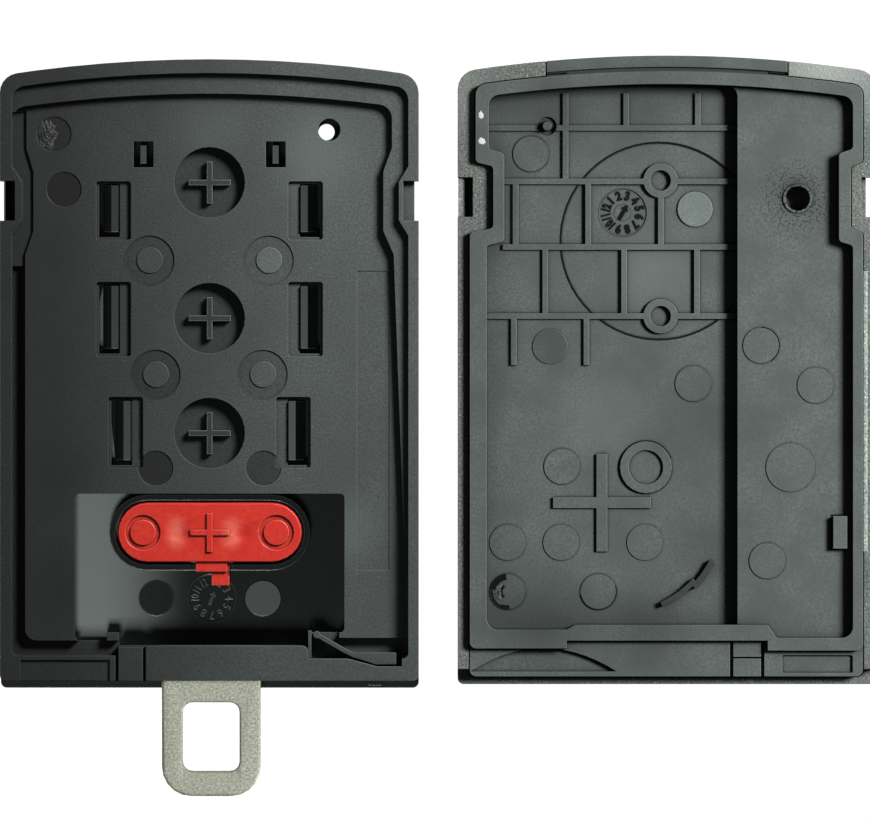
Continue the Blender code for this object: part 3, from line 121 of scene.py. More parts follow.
def moulded(finish):
    # Moulded plastic: broad flow marks, fine grain, sparse flecks, pale edges (wear with painted
    # highlight) and painted shade in the corners
    shared = mouldedSettings
    material, tree, shader = startMaterial(finish["name"], {
        "Roughness": finish["roughness"], "Specular IOR Level": finish["specular"],
        "Subsurface Weight": finish.get("translucent", 0.0),
        "Subsurface Radius": shared["scatter"], "Subsurface Scale": shared["scatterReach"],
    })
    place = addNode(tree, "ShaderNodeTexCoord").outputs["Object"]
    flow = grain(tree, place, finish["flowSize"], shared["flowDetail"], shared["flowSpan"])
    fine = grain(tree, place, finish["grainSize"], shared["grainDetail"], shared["grainSpan"])
    fleckSpan = (finish["fleckStart"], finish["fleckStart"] + shared["fleckWidth"])
    flecks = grain(tree, place, finish["fleckSize"], shared["fleckDetail"], fleckSpan)
    colour = addNode(tree, "ShaderNodeMix", {0: flow, 6: toLinear(finish["dark"]),
                                             7: toLinear(finish["light"])},
                     data_type="RGBA").outputs[2]
    colour = addNode(tree, "ShaderNodeMix", {0: fine, 6: toLinear(finish["grainDark"]), 7: colour},
                     data_type="RGBA").outputs[2]
    # pale convex edges: wear, with painted highlight
    outer = addNode(tree, "ShaderNodeAmbientOcclusion", {"Distance": finish["edgeReach"]},
                    samples=shared["samples"], inside=True, only_local=True).outputs["AO"]
    flat, corner = shared["edgeSpan"]
    wearAndHighlight = addNode(tree, "ShaderNodeMapRange", {"Value": outer, "From Min": flat,
                                                "From Max": corner, "To Max": finish["edgeWearAndHighlight"]})
    # coats lie one over the other, each as thick as its amount says
    coats = [(flecks, finish["fleck"]), (wearAndHighlight.outputs["Result"], finish["edge"])]
    if "pits" in finish:
        # spark pits gather round one place and thin out with the distance from it
        spots = grain(tree, place, shared["pitSize"], shared["pitDetail"], shared["pitSpan"])
        near = closeness(tree, place, *finish["pits"])
        amount = addNode(tree, "ShaderNodeMath", {0: spots, 1: near}, operation="MULTIPLY")
        coats.append((amount.outputs[0], shared["pitColour"]))
    # each patch is a stain, a painted patch of light or a painted patch of shade
    for x, y, reach, patchTint, strength in finish.get("stainsAndPaintedLight", ()):
        near = closeness(tree, place, x, y, reach)
        amount = addNode(tree, "ShaderNodeMath", {0: near, 1: strength}, operation="MULTIPLY")
        coats.append((amount.outputs[0], patchTint))
    if "rubbed" in finish:
        # where the rub attribute says so, fading along x, and by the share that the matt attribute
        # gives, the skin is rougher and grey is painted in: painted reflection and painted light
        start, end, paintedReflectionColour, rubbedRoughness = finish["rubbed"]
        across = addNode(tree, "ShaderNodeSeparateXYZ", {"Vector": place}).outputs["X"]
        fade = addNode(tree, "ShaderNodeMapRange", {"Value": across, "From Min": start,
                                                    "From Max": end, "To Min": 1.0, "To Max": 0.0},
                       interpolation_type="SMOOTHSTEP").outputs["Result"]
        rub = addNode(tree, "ShaderNodeAttribute", attribute_name="rub").outputs["Fac"]
        faded = addNode(tree, "ShaderNodeMath", {0: fade, 1: rub}, operation="MULTIPLY").outputs[0]
        matt = addNode(tree, "ShaderNodeAttribute", attribute_name="matt").outputs["Fac"]
        rubAndReflectionShare = addNode(tree, "ShaderNodeMath", {0: faded, 1: matt}, operation="MAXIMUM").outputs[0]
        coats.append((rubAndReflectionShare, paintedReflectionColour))
        spread = addNode(tree, "ShaderNodeMapRange", {"Value": rubAndReflectionShare, "To Min": finish["roughness"],
                                                      "To Max": rubbedRoughness})
        tree.links.new(spread.outputs["Result"], shader.inputs["Roughness"])
    for amount, tint in coats:
        colour = addNode(tree, "ShaderNodeMix", {0: amount, 6: colour, 7: toLinear(tint)},
                         data_type="RGBA").outputs[2]
    shade = addNode(tree, "ShaderNodeAttribute", attribute_name="tone").outputs["Fac"]
    closedIn, openSky = shared["cornerSpan"]
    for reach, cornerShadeDepth in finish["corners"]:
        # painted shade from ambient occlusion: narrow dark lines along the steps, and a broad
        # darkening near tall walls
        sky = addNode(tree, "ShaderNodeAmbientOcclusion", {"Distance": reach},
                      samples=shared["samples"]).outputs["AO"]
        dark = addNode(tree, "ShaderNodeMapRange", {"Value": sky, "From Min": closedIn,
                                                    "From Max": openSky, "To Min": 1 - cornerShadeDepth})
        shade = addNode(tree, "ShaderNodeMath", {0: shade, 1: dark.outputs["Result"]},
                        operation="MULTIPLY").outputs[0]
    if "paintedFalloffShade" in finish:
        # painted shade: the moulding is darker towards one side, as light falling off across it, and
        # passes evenly into the lit side
        start, end, low, high = finish["paintedFalloffShade"]
        across = addNode(tree, "ShaderNodeSeparateXYZ", {"Vector": place}).outputs["X"]
        ramp = addNode(tree, "ShaderNodeMapRange", {"Value": across, "From Min": start,
                                                    "From Max": end, "To Min": low, "To Max": high})
        shade = addNode(tree, "ShaderNodeMath", {0: shade, 1: ramp.outputs["Result"]},
                        operation="MULTIPLY").outputs[0]
    shaded = addNode(tree, "ShaderNodeVectorMath", {0: colour, "Scale": shade}, operation="SCALE")
    tree.links.new(shaded.outputs[0], shader.inputs["Base Color"])
    rounded = addNode(tree, "ShaderNodeBevel", {"Radius": finish["edgeRadius"]},
                      samples=shared["samples"]).outputs["Normal"]
    bump = addNode(tree, "ShaderNodeBump", {
        "Height": fine, "Strength": finish["bump"], "Normal": rounded,
        "Distance": finish["grainSize"] * shared["bumpDepth"]})
    tree.links.new(bump.outputs["Normal"], shader.inputs["Normal"])
    return material


# In the finishes below: sizes and reaches of patterns in metres; corners are (reach, depth of the
# painted shade); stains are (x, y, reach, colour, strength), painted light and shade as well as
# marks, and pits (x, y, reach), in mm. The real spark grain of about 0.05 mm is too fine to show,
# so it is drawn at 0.2 to 0.3 mm.

# Glass filled PC from a spark eroded mould: dull dark grey with a few pale glass flecks, and painted
# shade darkening its left side (that ramp: from x to x, tone from to)
frameFinish = {
    "name": "glass filled PC, spark eroded", "roughness": 0.6, "specular": 0.3,
    "dark": "353A38", "light": "404643", "grainDark": "2A2E2D", "fleck": "5E6461",
    "edge": "5E6562", "edgeWearAndHighlight": 0.4, "edgeReach": 0.1 * mm, "edgeRadius": 0.12 * mm,
    "corners": ((0.2 * mm, 0.7), (3 * mm, 0.35)), "flowSize": 9 * mm, "grainSize": 0.22 * mm,
    "fleckSize": 0.2 * mm, "fleckStart": 0.84, "bump": 0.12,
    "paintedFalloffShade": (-44 * mm, -15 * mm, 0.27, 1.2),
    # these stains paint shade on the left and the top and paler patches to the right, as light
    # falling off across the plate
    "stainsAndPaintedLight": (
        (-43.5, -6.0, 7.0, "1E2120", 0.45), (-43.0, -18.0, 7.0, "1B1E1D", 0.5),
        (-14.0, 31.0, 8.0, "4C534F", 0.4), (-10.5, -12.0, 6.0, "4C534F", 0.35),
        (-27.0, 34.0, 7.0, "464D49", 0.4), (-26.0, 42.0, 8.0, "272B2A", 0.4),
    ),
}
# PC with a coarse spark eroded grain: pale grey that sparkles, its edges pale with wear and painted
# highlight
shellFinish = {
    "name": "PC shell, coarse spark eroded", "roughness": 0.65, "specular": 0.5,
    "dark": "717673", "light": "828880", "grainDark": "4A4F4C", "fleck": "ACB2AD",
    "edge": "8A908B", "edgeWearAndHighlight": 0.4, "edgeReach": 0.12 * mm, "edgeRadius": 0.15 * mm,
    "corners": ((0.2 * mm, 0.6), (2 * mm, 0.2)), "flowSize": 6 * mm, "grainSize": 0.26 * mm,
    "fleckSize": 0.2 * mm, "fleckStart": 0.7, "bump": 0.5,
    # the first stain, paler at the top right, is painted light falling off across the frame; the
    # second is a paler patch
    "stainsAndPaintedLight": ((45.0, 41.0, 10.0, "B4BAB5", 0.6), (3.0, 38.0, 7.0, "8F958F", 0.4)),
}
# Satin moulded PC: smooth mid grey with cloudy flow marks, and painted shade drawn sharply into each
# step
linerFinish = {
    "name": "PC liner, satin moulded", "roughness": 0.5, "specular": 0.5,
    "dark": "4F5754", "light": "6A726E", "grainDark": "4E5653", "fleck": "7C8480",
    "edge": "808884", "edgeWearAndHighlight": 0.5, "edgeReach": 0.1 * mm, "edgeRadius": 0.1 * mm,
    "corners": ((0.3 * mm, 0.97), (5 * mm, 0.5)), "flowSize": 5 * mm, "grainSize": 0.25 * mm,
    "fleckSize": 0.2 * mm, "fleckStart": 0.82, "bump": 0.08, "pits": (41.6, 26.3, 7.0),
    # most stains paint shade near the walls, at the top, the bottom and beside the panel, and paler
    # patches in the open middle; the last is a dark halo round the hole
    "stainsAndPaintedLight": (
        (14.0, 36.0, 7.0, "343A38", 0.6), (24.0, 37.0, 8.0, "3A403E", 0.5),
        (12.0, -22.0, 9.0, "333937", 0.7), (24.0, -23.0, 8.0, "363C3A", 0.6),
        (30.5, 0.0, 9.0, "3E4542", 0.5), (31.0, -14.0, 8.0, "3E4542", 0.5),
        (25.0, 18.0, 8.0, "737C78", 0.5), (19.0, 1.0, 8.0, "6C7571", 0.4),
        (45.0, 32.0, 6.0, "59615D", 0.4), (38.5, -22.0, 6.0, "4A524E", 0.4),
        (41.6, 26.6, 3.2, "181C1A", 0.75),
    ),
}
# Satin moulded PC, nearly black: its ribs show by their pale edges, wear with painted highlight
buttonFinish = {
    "name": "PC button, satin moulded", "roughness": 0.5, "specular": 0.3,
    "dark": "232726", "light": "2C302F", "grainDark": "1E2221", "fleck": "454A48",
    "edge": "7A807C", "edgeWearAndHighlight": 0.6, "edgeReach": 0.1 * mm, "edgeRadius": 0.08 * mm,
    "corners": ((0.2 * mm, 0.7),), "flowSize": 3 * mm, "grainSize": 0.22 * mm,
    "fleckSize": 0.2 * mm, "fleckStart": 0.8, "bump": 0.12,
}
# ABS from a polished mould: deep black gloss; where it is rougher, grey is painted in as the
# reflection of the light (that tuple: from x to x, painted grey, roughness)
skinFinish = {
    "name": "ABS skin, polished mould", "roughness": 0.25, "specular": 0.5,
    "dark": "101212", "light": "151818", "grainDark": "0E0F0F", "fleck": "1C1E1E",
    "edge": "4A4F4D", "edgeWearAndHighlight": 0.7, "edgeReach": 0.1 * mm, "edgeRadius": 0.1 * mm,
    "corners": ((0.25 * mm, 0.7),), "flowSize": 8 * mm, "grainSize": 0.3 * mm,
    "fleckSize": 0.3 * mm, "fleckStart": 0.8, "bump": 0.03,
    "rubbed": (-40 * mm, -28 * mm, "5C6460", 0.6),
}
# Satin moulded red POM: light passes a little way through it, so its shadows are a warm dark red;
# its stains paint highlights on the two sides of the cross and shade in the dips beside them
redFinish = {
    "name": "red POM, satin moulded", "roughness": 0.4, "specular": 0.5,
    "dark": "B4241A", "light": "BE3525", "grainDark": "AE2218", "fleck": "C44C3C",
    "edge": "E08072", "edgeWearAndHighlight": 0.4, "edgeReach": 0.1 * mm, "edgeRadius": 0.12 * mm,
    "corners": ((0.25 * mm, 0.45), (0.7 * mm, 0.25)), "flowSize": 3 * mm, "grainSize": 0.5 * mm,
    "fleckSize": 0.25 * mm, "fleckStart": 0.85, "bump": 0.05, "translucent": 0.35,
    "stainsAndPaintedLight": (
        (-30.3, -11.6, 1.7, "E08A78", 0.3), (-30.3, -13.2, 1.7, "E08A78", 0.3),
        (-23.9, -11.6, 1.7, "E08A78", 0.28), (-23.9, -13.2, 1.7, "E08A78", 0.28),
        (-28.9, -12.3, 1.2, "A81C12", 0.6), (-22.3, -12.3, 1.2, "A81C12", 0.6),
    ),
}
# PC that went white under stress where a chip broke away: chalky and bright
whitenedFinish = {
    "name": "stress whitened PC chip", "roughness": 0.5, "specular": 0.5,
    "dark": "DCE2DF", "light": "F2F6F4", "grainDark": "B4BAB7", "fleck": "FFFFFF",
    "edge": "FFFFFF", "edgeWearAndHighlight": 0.5, "edgeReach": 0.1 * mm, "edgeRadius": 0.05 * mm,
    "corners": ((0.2 * mm, 0.3),), "flowSize": 1 * mm, "grainSize": 0.2 * mm,
    "fleckSize": 0.2 * mm, "fleckStart": 0.8, "bump": 0.2,
}
# Flat black with hardly a glint: painted shade for dark lines over steps and outlines, and for the
# rear dial's dark figures
shadeBlackFinish = {
    "name": "flat black of painted shade lines and figures", "roughness": 0.9, "specular": 0.1,
    "dark": "101211", "light": "181B1A", "grainDark": "0E100F", "fleck": "202423",
    "edge": "282C2A", "edgeWearAndHighlight": 0.3, "edgeReach": 0.1 * mm, "edgeRadius": 0.05 * mm,
    "corners": ((0.2 * mm, 0.3),), "flowSize": 2 * mm, "grainSize": 0.25 * mm,
    "fleckSize": 0.2 * mm, "fleckStart": 0.85, "bump": 0.1,
}
# Nickel silver, blanked and tumbled: a coarse sparkling peen, soft edges and a few dark nicks
loopFinish = {
    "name": "tumbled nickel silver", "dark": "AEB0A0", "light": "DCDECD", "nick": "85877A",
    "peenSize": 0.25 * mm, "peenDetail": 2.0, "peenSpan": (0.3, 0.7), "roughness": (0.56, 0.48),
    "nickSize": 0.45 * mm, "nickDetail": 1.0, "nickSpan": (0.72, 0.8),
    "edgeRadius": 0.28 * mm, "edgeSamples": 6, "bump": 0.3, "peenDepth": 0.03 * mm,
}


def stampedMetal(finish):
    # Bare metal: the peen changes colour, roughness and height together, and nicks lie over it
    material, tree, shader = startMaterial(finish["name"], {"Metallic": 1.0})
    place = addNode(tree, "ShaderNodeTexCoord").outputs["Object"]
    peen = grain(tree, place, finish["peenSize"], finish["peenDetail"], finish["peenSpan"])
    nicks = grain(tree, place, finish["nickSize"], finish["nickDetail"], finish["nickSpan"])
    colour = addNode(tree, "ShaderNodeMix", {0: peen, 6: toLinear(finish["dark"]),
                                             7: toLinear(finish["light"])},
                     data_type="RGBA").outputs[2]
    colour = addNode(tree, "ShaderNodeMix", {0: nicks, 6: colour, 7: toLinear(finish["nick"])},
                     data_type="RGBA").outputs[2]
    tree.links.new(colour, shader.inputs["Base Color"])
    rough, smooth = finish["roughness"]
    spread = addNode(tree, "ShaderNodeMapRange", {"Value": peen, "To Min": rough, "To Max": smooth})
    tree.links.new(spread.outputs["Result"], shader.inputs["Roughness"])
    rounded = addNode(tree, "ShaderNodeBevel", {"Radius": finish["edgeRadius"]},
                      samples=finish["edgeSamples"]).outputs["Normal"]
    bump = addNode(tree, "ShaderNodeBump", {"Height": peen, "Strength": finish["bump"],
                                            "Distance": finish["peenDepth"], "Normal": rounded})
    tree.links.new(bump.outputs["Normal"], shader.inputs["Normal"])
    return material


def ringFaces(rings, around, closed=False):
    # Quads between neighbouring rings of points, where point k of ring i is number i * around + k;
    # closed joins the last ring to the first
    i = np.arange(rings if closed else rings - 1)[:, None]
    k, after = np.arange(around)[None], (i + 1) % rings
    return np.stack([i * around + k, i * around + (k + 1) % around,
                     after * around + (k + 1) % around, after * around + k], -1).reshape(-1, 4)


def splitQuads(quads):
    # Each quad as two triangles
    return np.concatenate([quads[:, :3], quads[:, [0, 2, 3]]])


# Corners nearer than weldReach are joined; edges up to smoothUpTo degrees are smooth; a face is
# level when its normal's z is above levelNormal
meshSettings = {"weldReach": 0.005 * mm, "smoothUpTo": 30, "levelNormal": 0.7}


def markFaces(mesh, attribute, plain, rows):
    # A level face whose centre is in a row's disc or box takes the row's value; others keep plain.
    # Rows are x, y, low z, high z, (radius,) or (half width, half length), all in mm, and the value
    count = len(mesh.polygons)
    centres, normals = np.empty(count * 3), np.empty(count * 3)
    mesh.polygons.foreach_get("center", centres)
    mesh.polygons.foreach_get("normal", normals)
    centres, normals = centres.reshape(-1, 3) / mm, normals.reshape(-1, 3)
    values = np.full(count, float(plain))
    for x, y, low, high, reach, value in rows:
        away = np.abs(centres[:, :2] - (x, y))
        inside = np.hypot(*away.T) < reach[0] if len(reach) == 1 else (away < reach).all(1)
        between = (centres[:, 2] > low) & (centres[:, 2] < high)
        values[inside & between & (normals[:, 2] > meshSettings["levelNormal"])] = value
    mesh.attributes.new(attribute, "FLOAT", "FACE").data.foreach_set("value", values)


def cutOpening(mesh, opening):
    # Takes a block (low and high x, low and high y, low and high z, in mm) out of a mesh
    lowX, highX, lowY, highY, lowZ, highZ = opening
    corners = np.array([(x, y, z) for z in (lowZ, highZ) for x, y in
                        ((lowX, lowY), (highX, lowY), (highX, highY), (lowX, highY))]) * mm
    block = bpy.data.meshes.new("opening")
    faces = [(3, 2, 1, 0), (4, 5, 6, 7), *ringFaces(2, 4).tolist()]
    block.from_pydata(corners.tolist(), [], faces)
    cutter = bpy.data.objects.new("opening", block)
    holder = bpy.data.objects.new("holder", mesh)
    for thing in (cutter, holder):
        bpy.context.scene.collection.objects.link(thing)
    cut = holder.modifiers.new("opening", "BOOLEAN")
    cut.operation, cut.solver, cut.object = "DIFFERENCE", "EXACT", cutter
    view = bpy.context.evaluated_depsgraph_get()
    opened = bpy.data.meshes.new_from_object(holder.evaluated_get(view))
    bpy.data.objects.remove(holder)
    bpy.data.objects.remove(cutter)
    opened.name = mesh.name
    return opened


def dressedCopy(name, node, body, slot, material, marks):
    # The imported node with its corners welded, smooth where it is round, marked and given its finish
    mesh = frame["nodes"][node].data.copy()
    mesh.name = name
    mesh.attributes.remove(mesh.attributes["custom_normal"])  # they belong to the loose triangles
    welded = bmesh.new()
    welded.from_mesh(mesh)
    bmesh.ops.remove_doubles(welded, verts=welded.verts, dist=meshSettings["weldReach"])
    welded.to_mesh(mesh)
    welded.free()
    for opening in marks.get("openings", ()):
        mesh = cutOpening(mesh, opening)
    mesh.materials.clear()
    mesh.materials.append(material)
    mesh.shade_smooth()
    mesh.set_sharp_from_angle(angle=math.radians(meshSettings["smoothUpTo"]))
    for attribute, plain in (("tone", 1.0), ("rub", 0.0), ("matt", 0.0)):
        markFaces(mesh, attribute, plain, marks.get(attribute, ()))
    piece = bpy.data.objects.new(name, mesh)
    bpy.context.scene.collection.objects.link(piece)
    flatten = piece.modifiers.new("flat faces stay flat", "WEIGHTED_NORMAL")
    flatten.keep_sharp = True
    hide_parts(node)
    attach(piece, body)


print("materials")
frameMaterial = moulded(frameFinish)
shellMaterial = moulded(shellFinish)
linerMaterial = moulded(linerFinish)
buttonMaterial = moulded(buttonFinish)
skinMaterial = moulded(skinFinish)
redMaterial = moulded(redFinish)
whitenedMaterial = moulded(whitenedFinish)
shadeBlackMaterial = moulded(shadeBlackFinish)
metalMaterial = stampedMetal(loopFinish)

print("pieces")
# tone: ejector marks and pads, whose mould inserts left another tone than the plate round them;
# rub and matt: where the polished skin is rougher and grey is painted in as reflection and light;
# openings: what the copy is cut open by
frontMarks = {
    "tone": (
        (-43.29, 27.375, 2.6, 3.05, (2.04,), 0.05), (-44.45, 33.775, 2.6, 3.05, (2.04,), 0.3),
        (-32.69, -4.88, 2.6, 3.05, (2.04,), 0.2), (-20.21, -4.88, 2.6, 3.05, (2.04,), 0.4),
        (-33.35, 19.185, 2.6, 3.05, (2.9,), 0.8), (-19.55, 19.185, 2.6, 3.05, (2.9,), 1.0),
        (-32.645, 5.975, 2.6, 3.05, (2.9,), 0.6), (-20.255, 5.975, 2.6, 3.05, (2.9,), 0.8),
        (-33.35, 19.185, 2.6, 3.2, (1.5,), 1.2), (-19.55, 19.185, 2.6, 3.2, (1.5,), 1.6),
        (-32.645, 5.975, 2.6, 3.2, (1.5,), 1.15), (-20.255, 5.975, 2.6, 3.2, (1.5,), 1.12),
    ),
}
skinMarks = {
    # the rub rows: painted reflection of the light on the pocket floor, fading towards the right
    "rub": (
        (-26.45, -14.0, 1.15, 1.5, (18.0, 14.0), 1.0), (-32.645, -19.973, 1.25, 1.5, (2.06,), 0.04),
    ),
    # the matt rows paint light on the window hooks, paler on the right, a highlight on the rim of the
    # red button's well, light on the left notch's floor, and a few small patches and a disc
    "matt": (
        (-20.303, -19.973, 1.25, 1.5, (2.06,), 0.34), (-26.4, -12.2, 3.4, 4.0, (12.6, 5.4), 0.55),
        (-37.49, 25.06, 2.0, 5.0, (2.1, 4.5), 0.35), (-15.57, 25.06, 2.0, 5.0, (2.1, 4.5), 0.55),
        (-37.49, 12.53, 2.0, 5.0, (2.1, 4.8), 0.35), (-15.57, 12.53, 2.0, 5.0, (2.1, 4.8), 0.55),
        (-36.33, -0.58, 2.0, 5.0, (2.1, 4.5), 0.35), (-16.38, -0.58, 2.0, 5.0, (2.1, 4.5), 0.55),
        (-34.24, 31.9, 1.5, 5.0, (1.1, 1.6), 0.6), (-18.93, 31.67, 1.5, 5.0, (1.1, 1.6), 0.75),
        (-50.0, 26.68, 0.5, 4.5, (1.4, 2.6), 0.45),
    ),
}
linerMarks = {
    "tone": (
        (29.75, 25.125, 1.6, 2.1, (2.04,), 1.7), (12.95, 9.225, 1.6, 2.1, (2.04,), 0.75),
        (41.55, 26.325, 3.65, 3.8, (1.75,), 1.3), (28.9, -18.1, 2.0, 3.5, (2.95, 2.9), 0.4),
    ),
}
shellMarks = {
    "openings": ((49.52, 51.0, 24.17, 28.77, -1, 6), (2.5, 3.05, 24.17, 28.77, 2.0, 6)),
}
pieceRows = (
    ("frontSkin", "front_cover", "case_halves", "glossy_skin", skinMaterial, skinMarks),
    ("frontFrame", "front_tray", "case_halves", "glass_filled_frame", frameMaterial, frontMarks),
    ("topKey", "top_button", "top_key", "button_plastic", buttonMaterial, {}),
    ("middleKey", "middle_button", "middle_key", "button_plastic", buttonMaterial, {}),
    ("lowerKey", "lower_button", "lower_key", "button_plastic", buttonMaterial, {}),
    ("redKey", "panic_button", "panic_key", "red_plastic", redMaterial, {}),
    ("keyLoop", "key_loop", "insert", "loop_metal", metalMaterial, {}),
    ("thumbLatch", "release_latch", "latch", "glass_filled_frame", frameMaterial, {}),
    ("rearShell", "rear_cover", "case_halves", "grained_shell", shellMaterial, shellMarks),
    ("rearLiner", "rear_liner", "case_halves", "liner_plastic", linerMaterial, linerMarks),
)
for row in pieceRows:
    dressedCopy(*row)

print("small raised and torn details")


def addPiece(name, points, faces, tones, body, material):
    # One closed surface from whole arrays of points (in mm) and faces, with a tone for each face
    mesh = bpy.data.meshes.new(name)
    mesh.from_pydata((points * mm).tolist(), [], faces.tolist())
    shaped = bmesh.new()
    shaped.from_mesh(mesh)
    bmesh.ops.recalc_face_normals(shaped, faces=shaped.faces)
    shaped.to_mesh(mesh)
    shaped.free()
    plain = np.zeros(len(faces))
    for attribute, values in (("tone", tones), ("rub", plain), ("matt", plain)):
        mesh.attributes.new(attribute, "FLOAT", "FACE").data.foreach_set("value", values)
    mesh.materials.append(material)
    piece = bpy.data.objects.new(name, mesh)
    bpy.context.scene.collection.objects.link(piece)
    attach(piece, body)


bandSettings = {"degreesPerStep": 6, "fewestSteps": 8}


def bands(name, rows, body, material):
    # Each row is an arc (x, y, radius, from and to degrees, width, low z, high z, tone): a box
    # profile carried round the centre, whole circles joined end to end and arcs closed by end faces
    points, faces, tones, first = [], [], [], 0
    for x, y, radius, start, end, width, low, high, tone in rows:
        whole = end - start >= 360
        steps = int(abs(end - start) / bandSettings["degreesPerStep"])
        count = max(bandSettings["fewestSteps"], steps)
        turn = np.radians(np.linspace(start, end, count, endpoint=not whole))
        radii = radius + np.array([-1, 1, 1, -1]) * width / 2
        levels = np.tile([low, low, high, high], (count, 1))
        ring = np.stack([x + np.outer(np.cos(turn), radii), y + np.outer(np.sin(turn), radii),
                         levels], -1)
        sides = ringFaces(count, 4, closed=whole)
        if not whole:
            last = (count - 1) * 4
            sides = np.concatenate([sides, [[0, 3, 2, 1]], last + np.array([[0, 1, 2, 3]])])
        points.append(ring.reshape(-1, 3))
        faces.append(sides + first)
        tones.append(np.full(len(sides), tone))
        first += count * 4
    addPiece(name, np.concatenate(points), np.concatenate(faces), np.concatenate(tones),
             body, material)


# dark bands over the steps and the outlines of marks are painted shade lines: flat black in the first
# table, darker tones of the liner and the frame in the others; the liner's last row is a pale ring
blackShadeLines = (
    (25.579, 21.425, 11.42, 42, 318, 0.19, 1.65, 1.83, 1.0),
    (8.06, -19.175, 1.72, 96, 172, 0.7, 1.75, 1.94, 1.0),
    (8.06, -19.175, 1.88, 172, 250, 0.24, 1.75, 1.94, 1.0),
    (8.06, -19.175, 1.82, 246, 276, 0.44, 1.75, 1.94, 1.0),
    (8.06, -19.175, 0.75, 120, 235, 0.3, 1.75, 1.94, 1.0),
    (24.05, -4.775, 3.05, 20, 250, 0.14, 1.75, 1.9, 1.0),
    (18.55, -19.175, 2.07, 190, 380, 0.12, 1.75, 1.91, 1.0),
    (37.35, 9.325, 2.08, -60, 90, 0.12, 3.55, 3.71, 1.0),
)
linerShadeLines = (
    (21.4, 24.725, 2.8, 0, 360, 0.12, 1.55, 1.72, 0.55),
    (21.4, 24.725, 0.98, 0, 360, 0.1, 1.55, 1.63, 0.6),
    (37.35, 9.325, 2.06, 90, 300, 0.1, 3.55, 3.71, 0.5),
    (43.65, 4.725, 2.06, 0, 360, 0.1, 3.55, 3.71, 0.6),
    (29.55, 4.925, 2.05, 0, 360, 0.12, 1.75, 1.91, 0.55),
    (14.35, -4.675, 2.05, 0, 360, 0.1, 1.75, 1.91, 0.5),
    (18.55, -19.175, 2.05, 20, 190, 0.1, 1.75, 1.91, 0.4),
    (10.75, 31.525, 2.05, 0, 360, 0.11, 1.75, 1.91, 0.35),
    (8.06, -19.175, 2.05, 0, 360, 0.11, 1.75, 1.91, 0.4),
    (8.06, -13.475, 2.05, 0, 360, 0.09, 1.75, 1.91, 0.6),
    (14.25, -13.475, 2.05, 0, 360, 0.09, 1.75, 1.91, 0.6),
    (23.95, -13.475, 2.05, 0, 360, 0.09, 1.75, 1.91, 0.65),
    (38.07, -15.575, 2.06, 0, 360, 0.1, 3.55, 3.71, 0.5),
    (40.75, -4.775, 2.78, 0, 360, 0.1, 3.55, 3.71, 0.65),
    (24.05, -4.775, 3.05, 250, 380, 0.12, 1.75, 1.9, 0.3),
    (41.55, 26.325, 1.55, 0, 360, 0.24, 3.6, 3.78, 1.4),
)
trayShadeLines = (
    (-33.35, 19.185, 2.88, 0, 360, 0.12, 2.9, 3.11, 0.5),
    (-19.55, 19.185, 2.88, 0, 360, 0.12, 2.9, 3.11, 0.6),
    (-32.645, 5.975, 2.88, 0, 360, 0.12, 2.9, 3.11, 0.5),
    (-20.255, 5.975, 2.88, 0, 360, 0.12, 2.9, 3.11, 0.55),
)
bands("linerShadeLines", linerShadeLines, "case_halves", linerMaterial)
bands("blackShadeLines", blackShadeLines, "case_halves", shadeBlackMaterial)
bands("trayShadeLines", trayShadeLines, "case_halves", frameMaterial)

# Numbers with two figures are squeezed. Figures and arrow start sunk (in mm) below the dial; the
# arrow is an outline round its middle and the triangles that fill it.
figureStyle = {
    "count": 12, "steps": 3, "thick": 0.05, "weld": 0.0005, "squeeze": 0.78, "sunk": 0.02,
    "arrow": ((-0.85, -0.19), (0.35, -0.19), (0.25, -0.42), (0.9, 0), (0.25, 0.42), (0.35, 0.19),
              (-0.85, 0.19)),
    "arrowFill": ((0, 1, 5), (0, 5, 6), (1, 2, 3), (1, 3, 5), (3, 4, 5)),
}


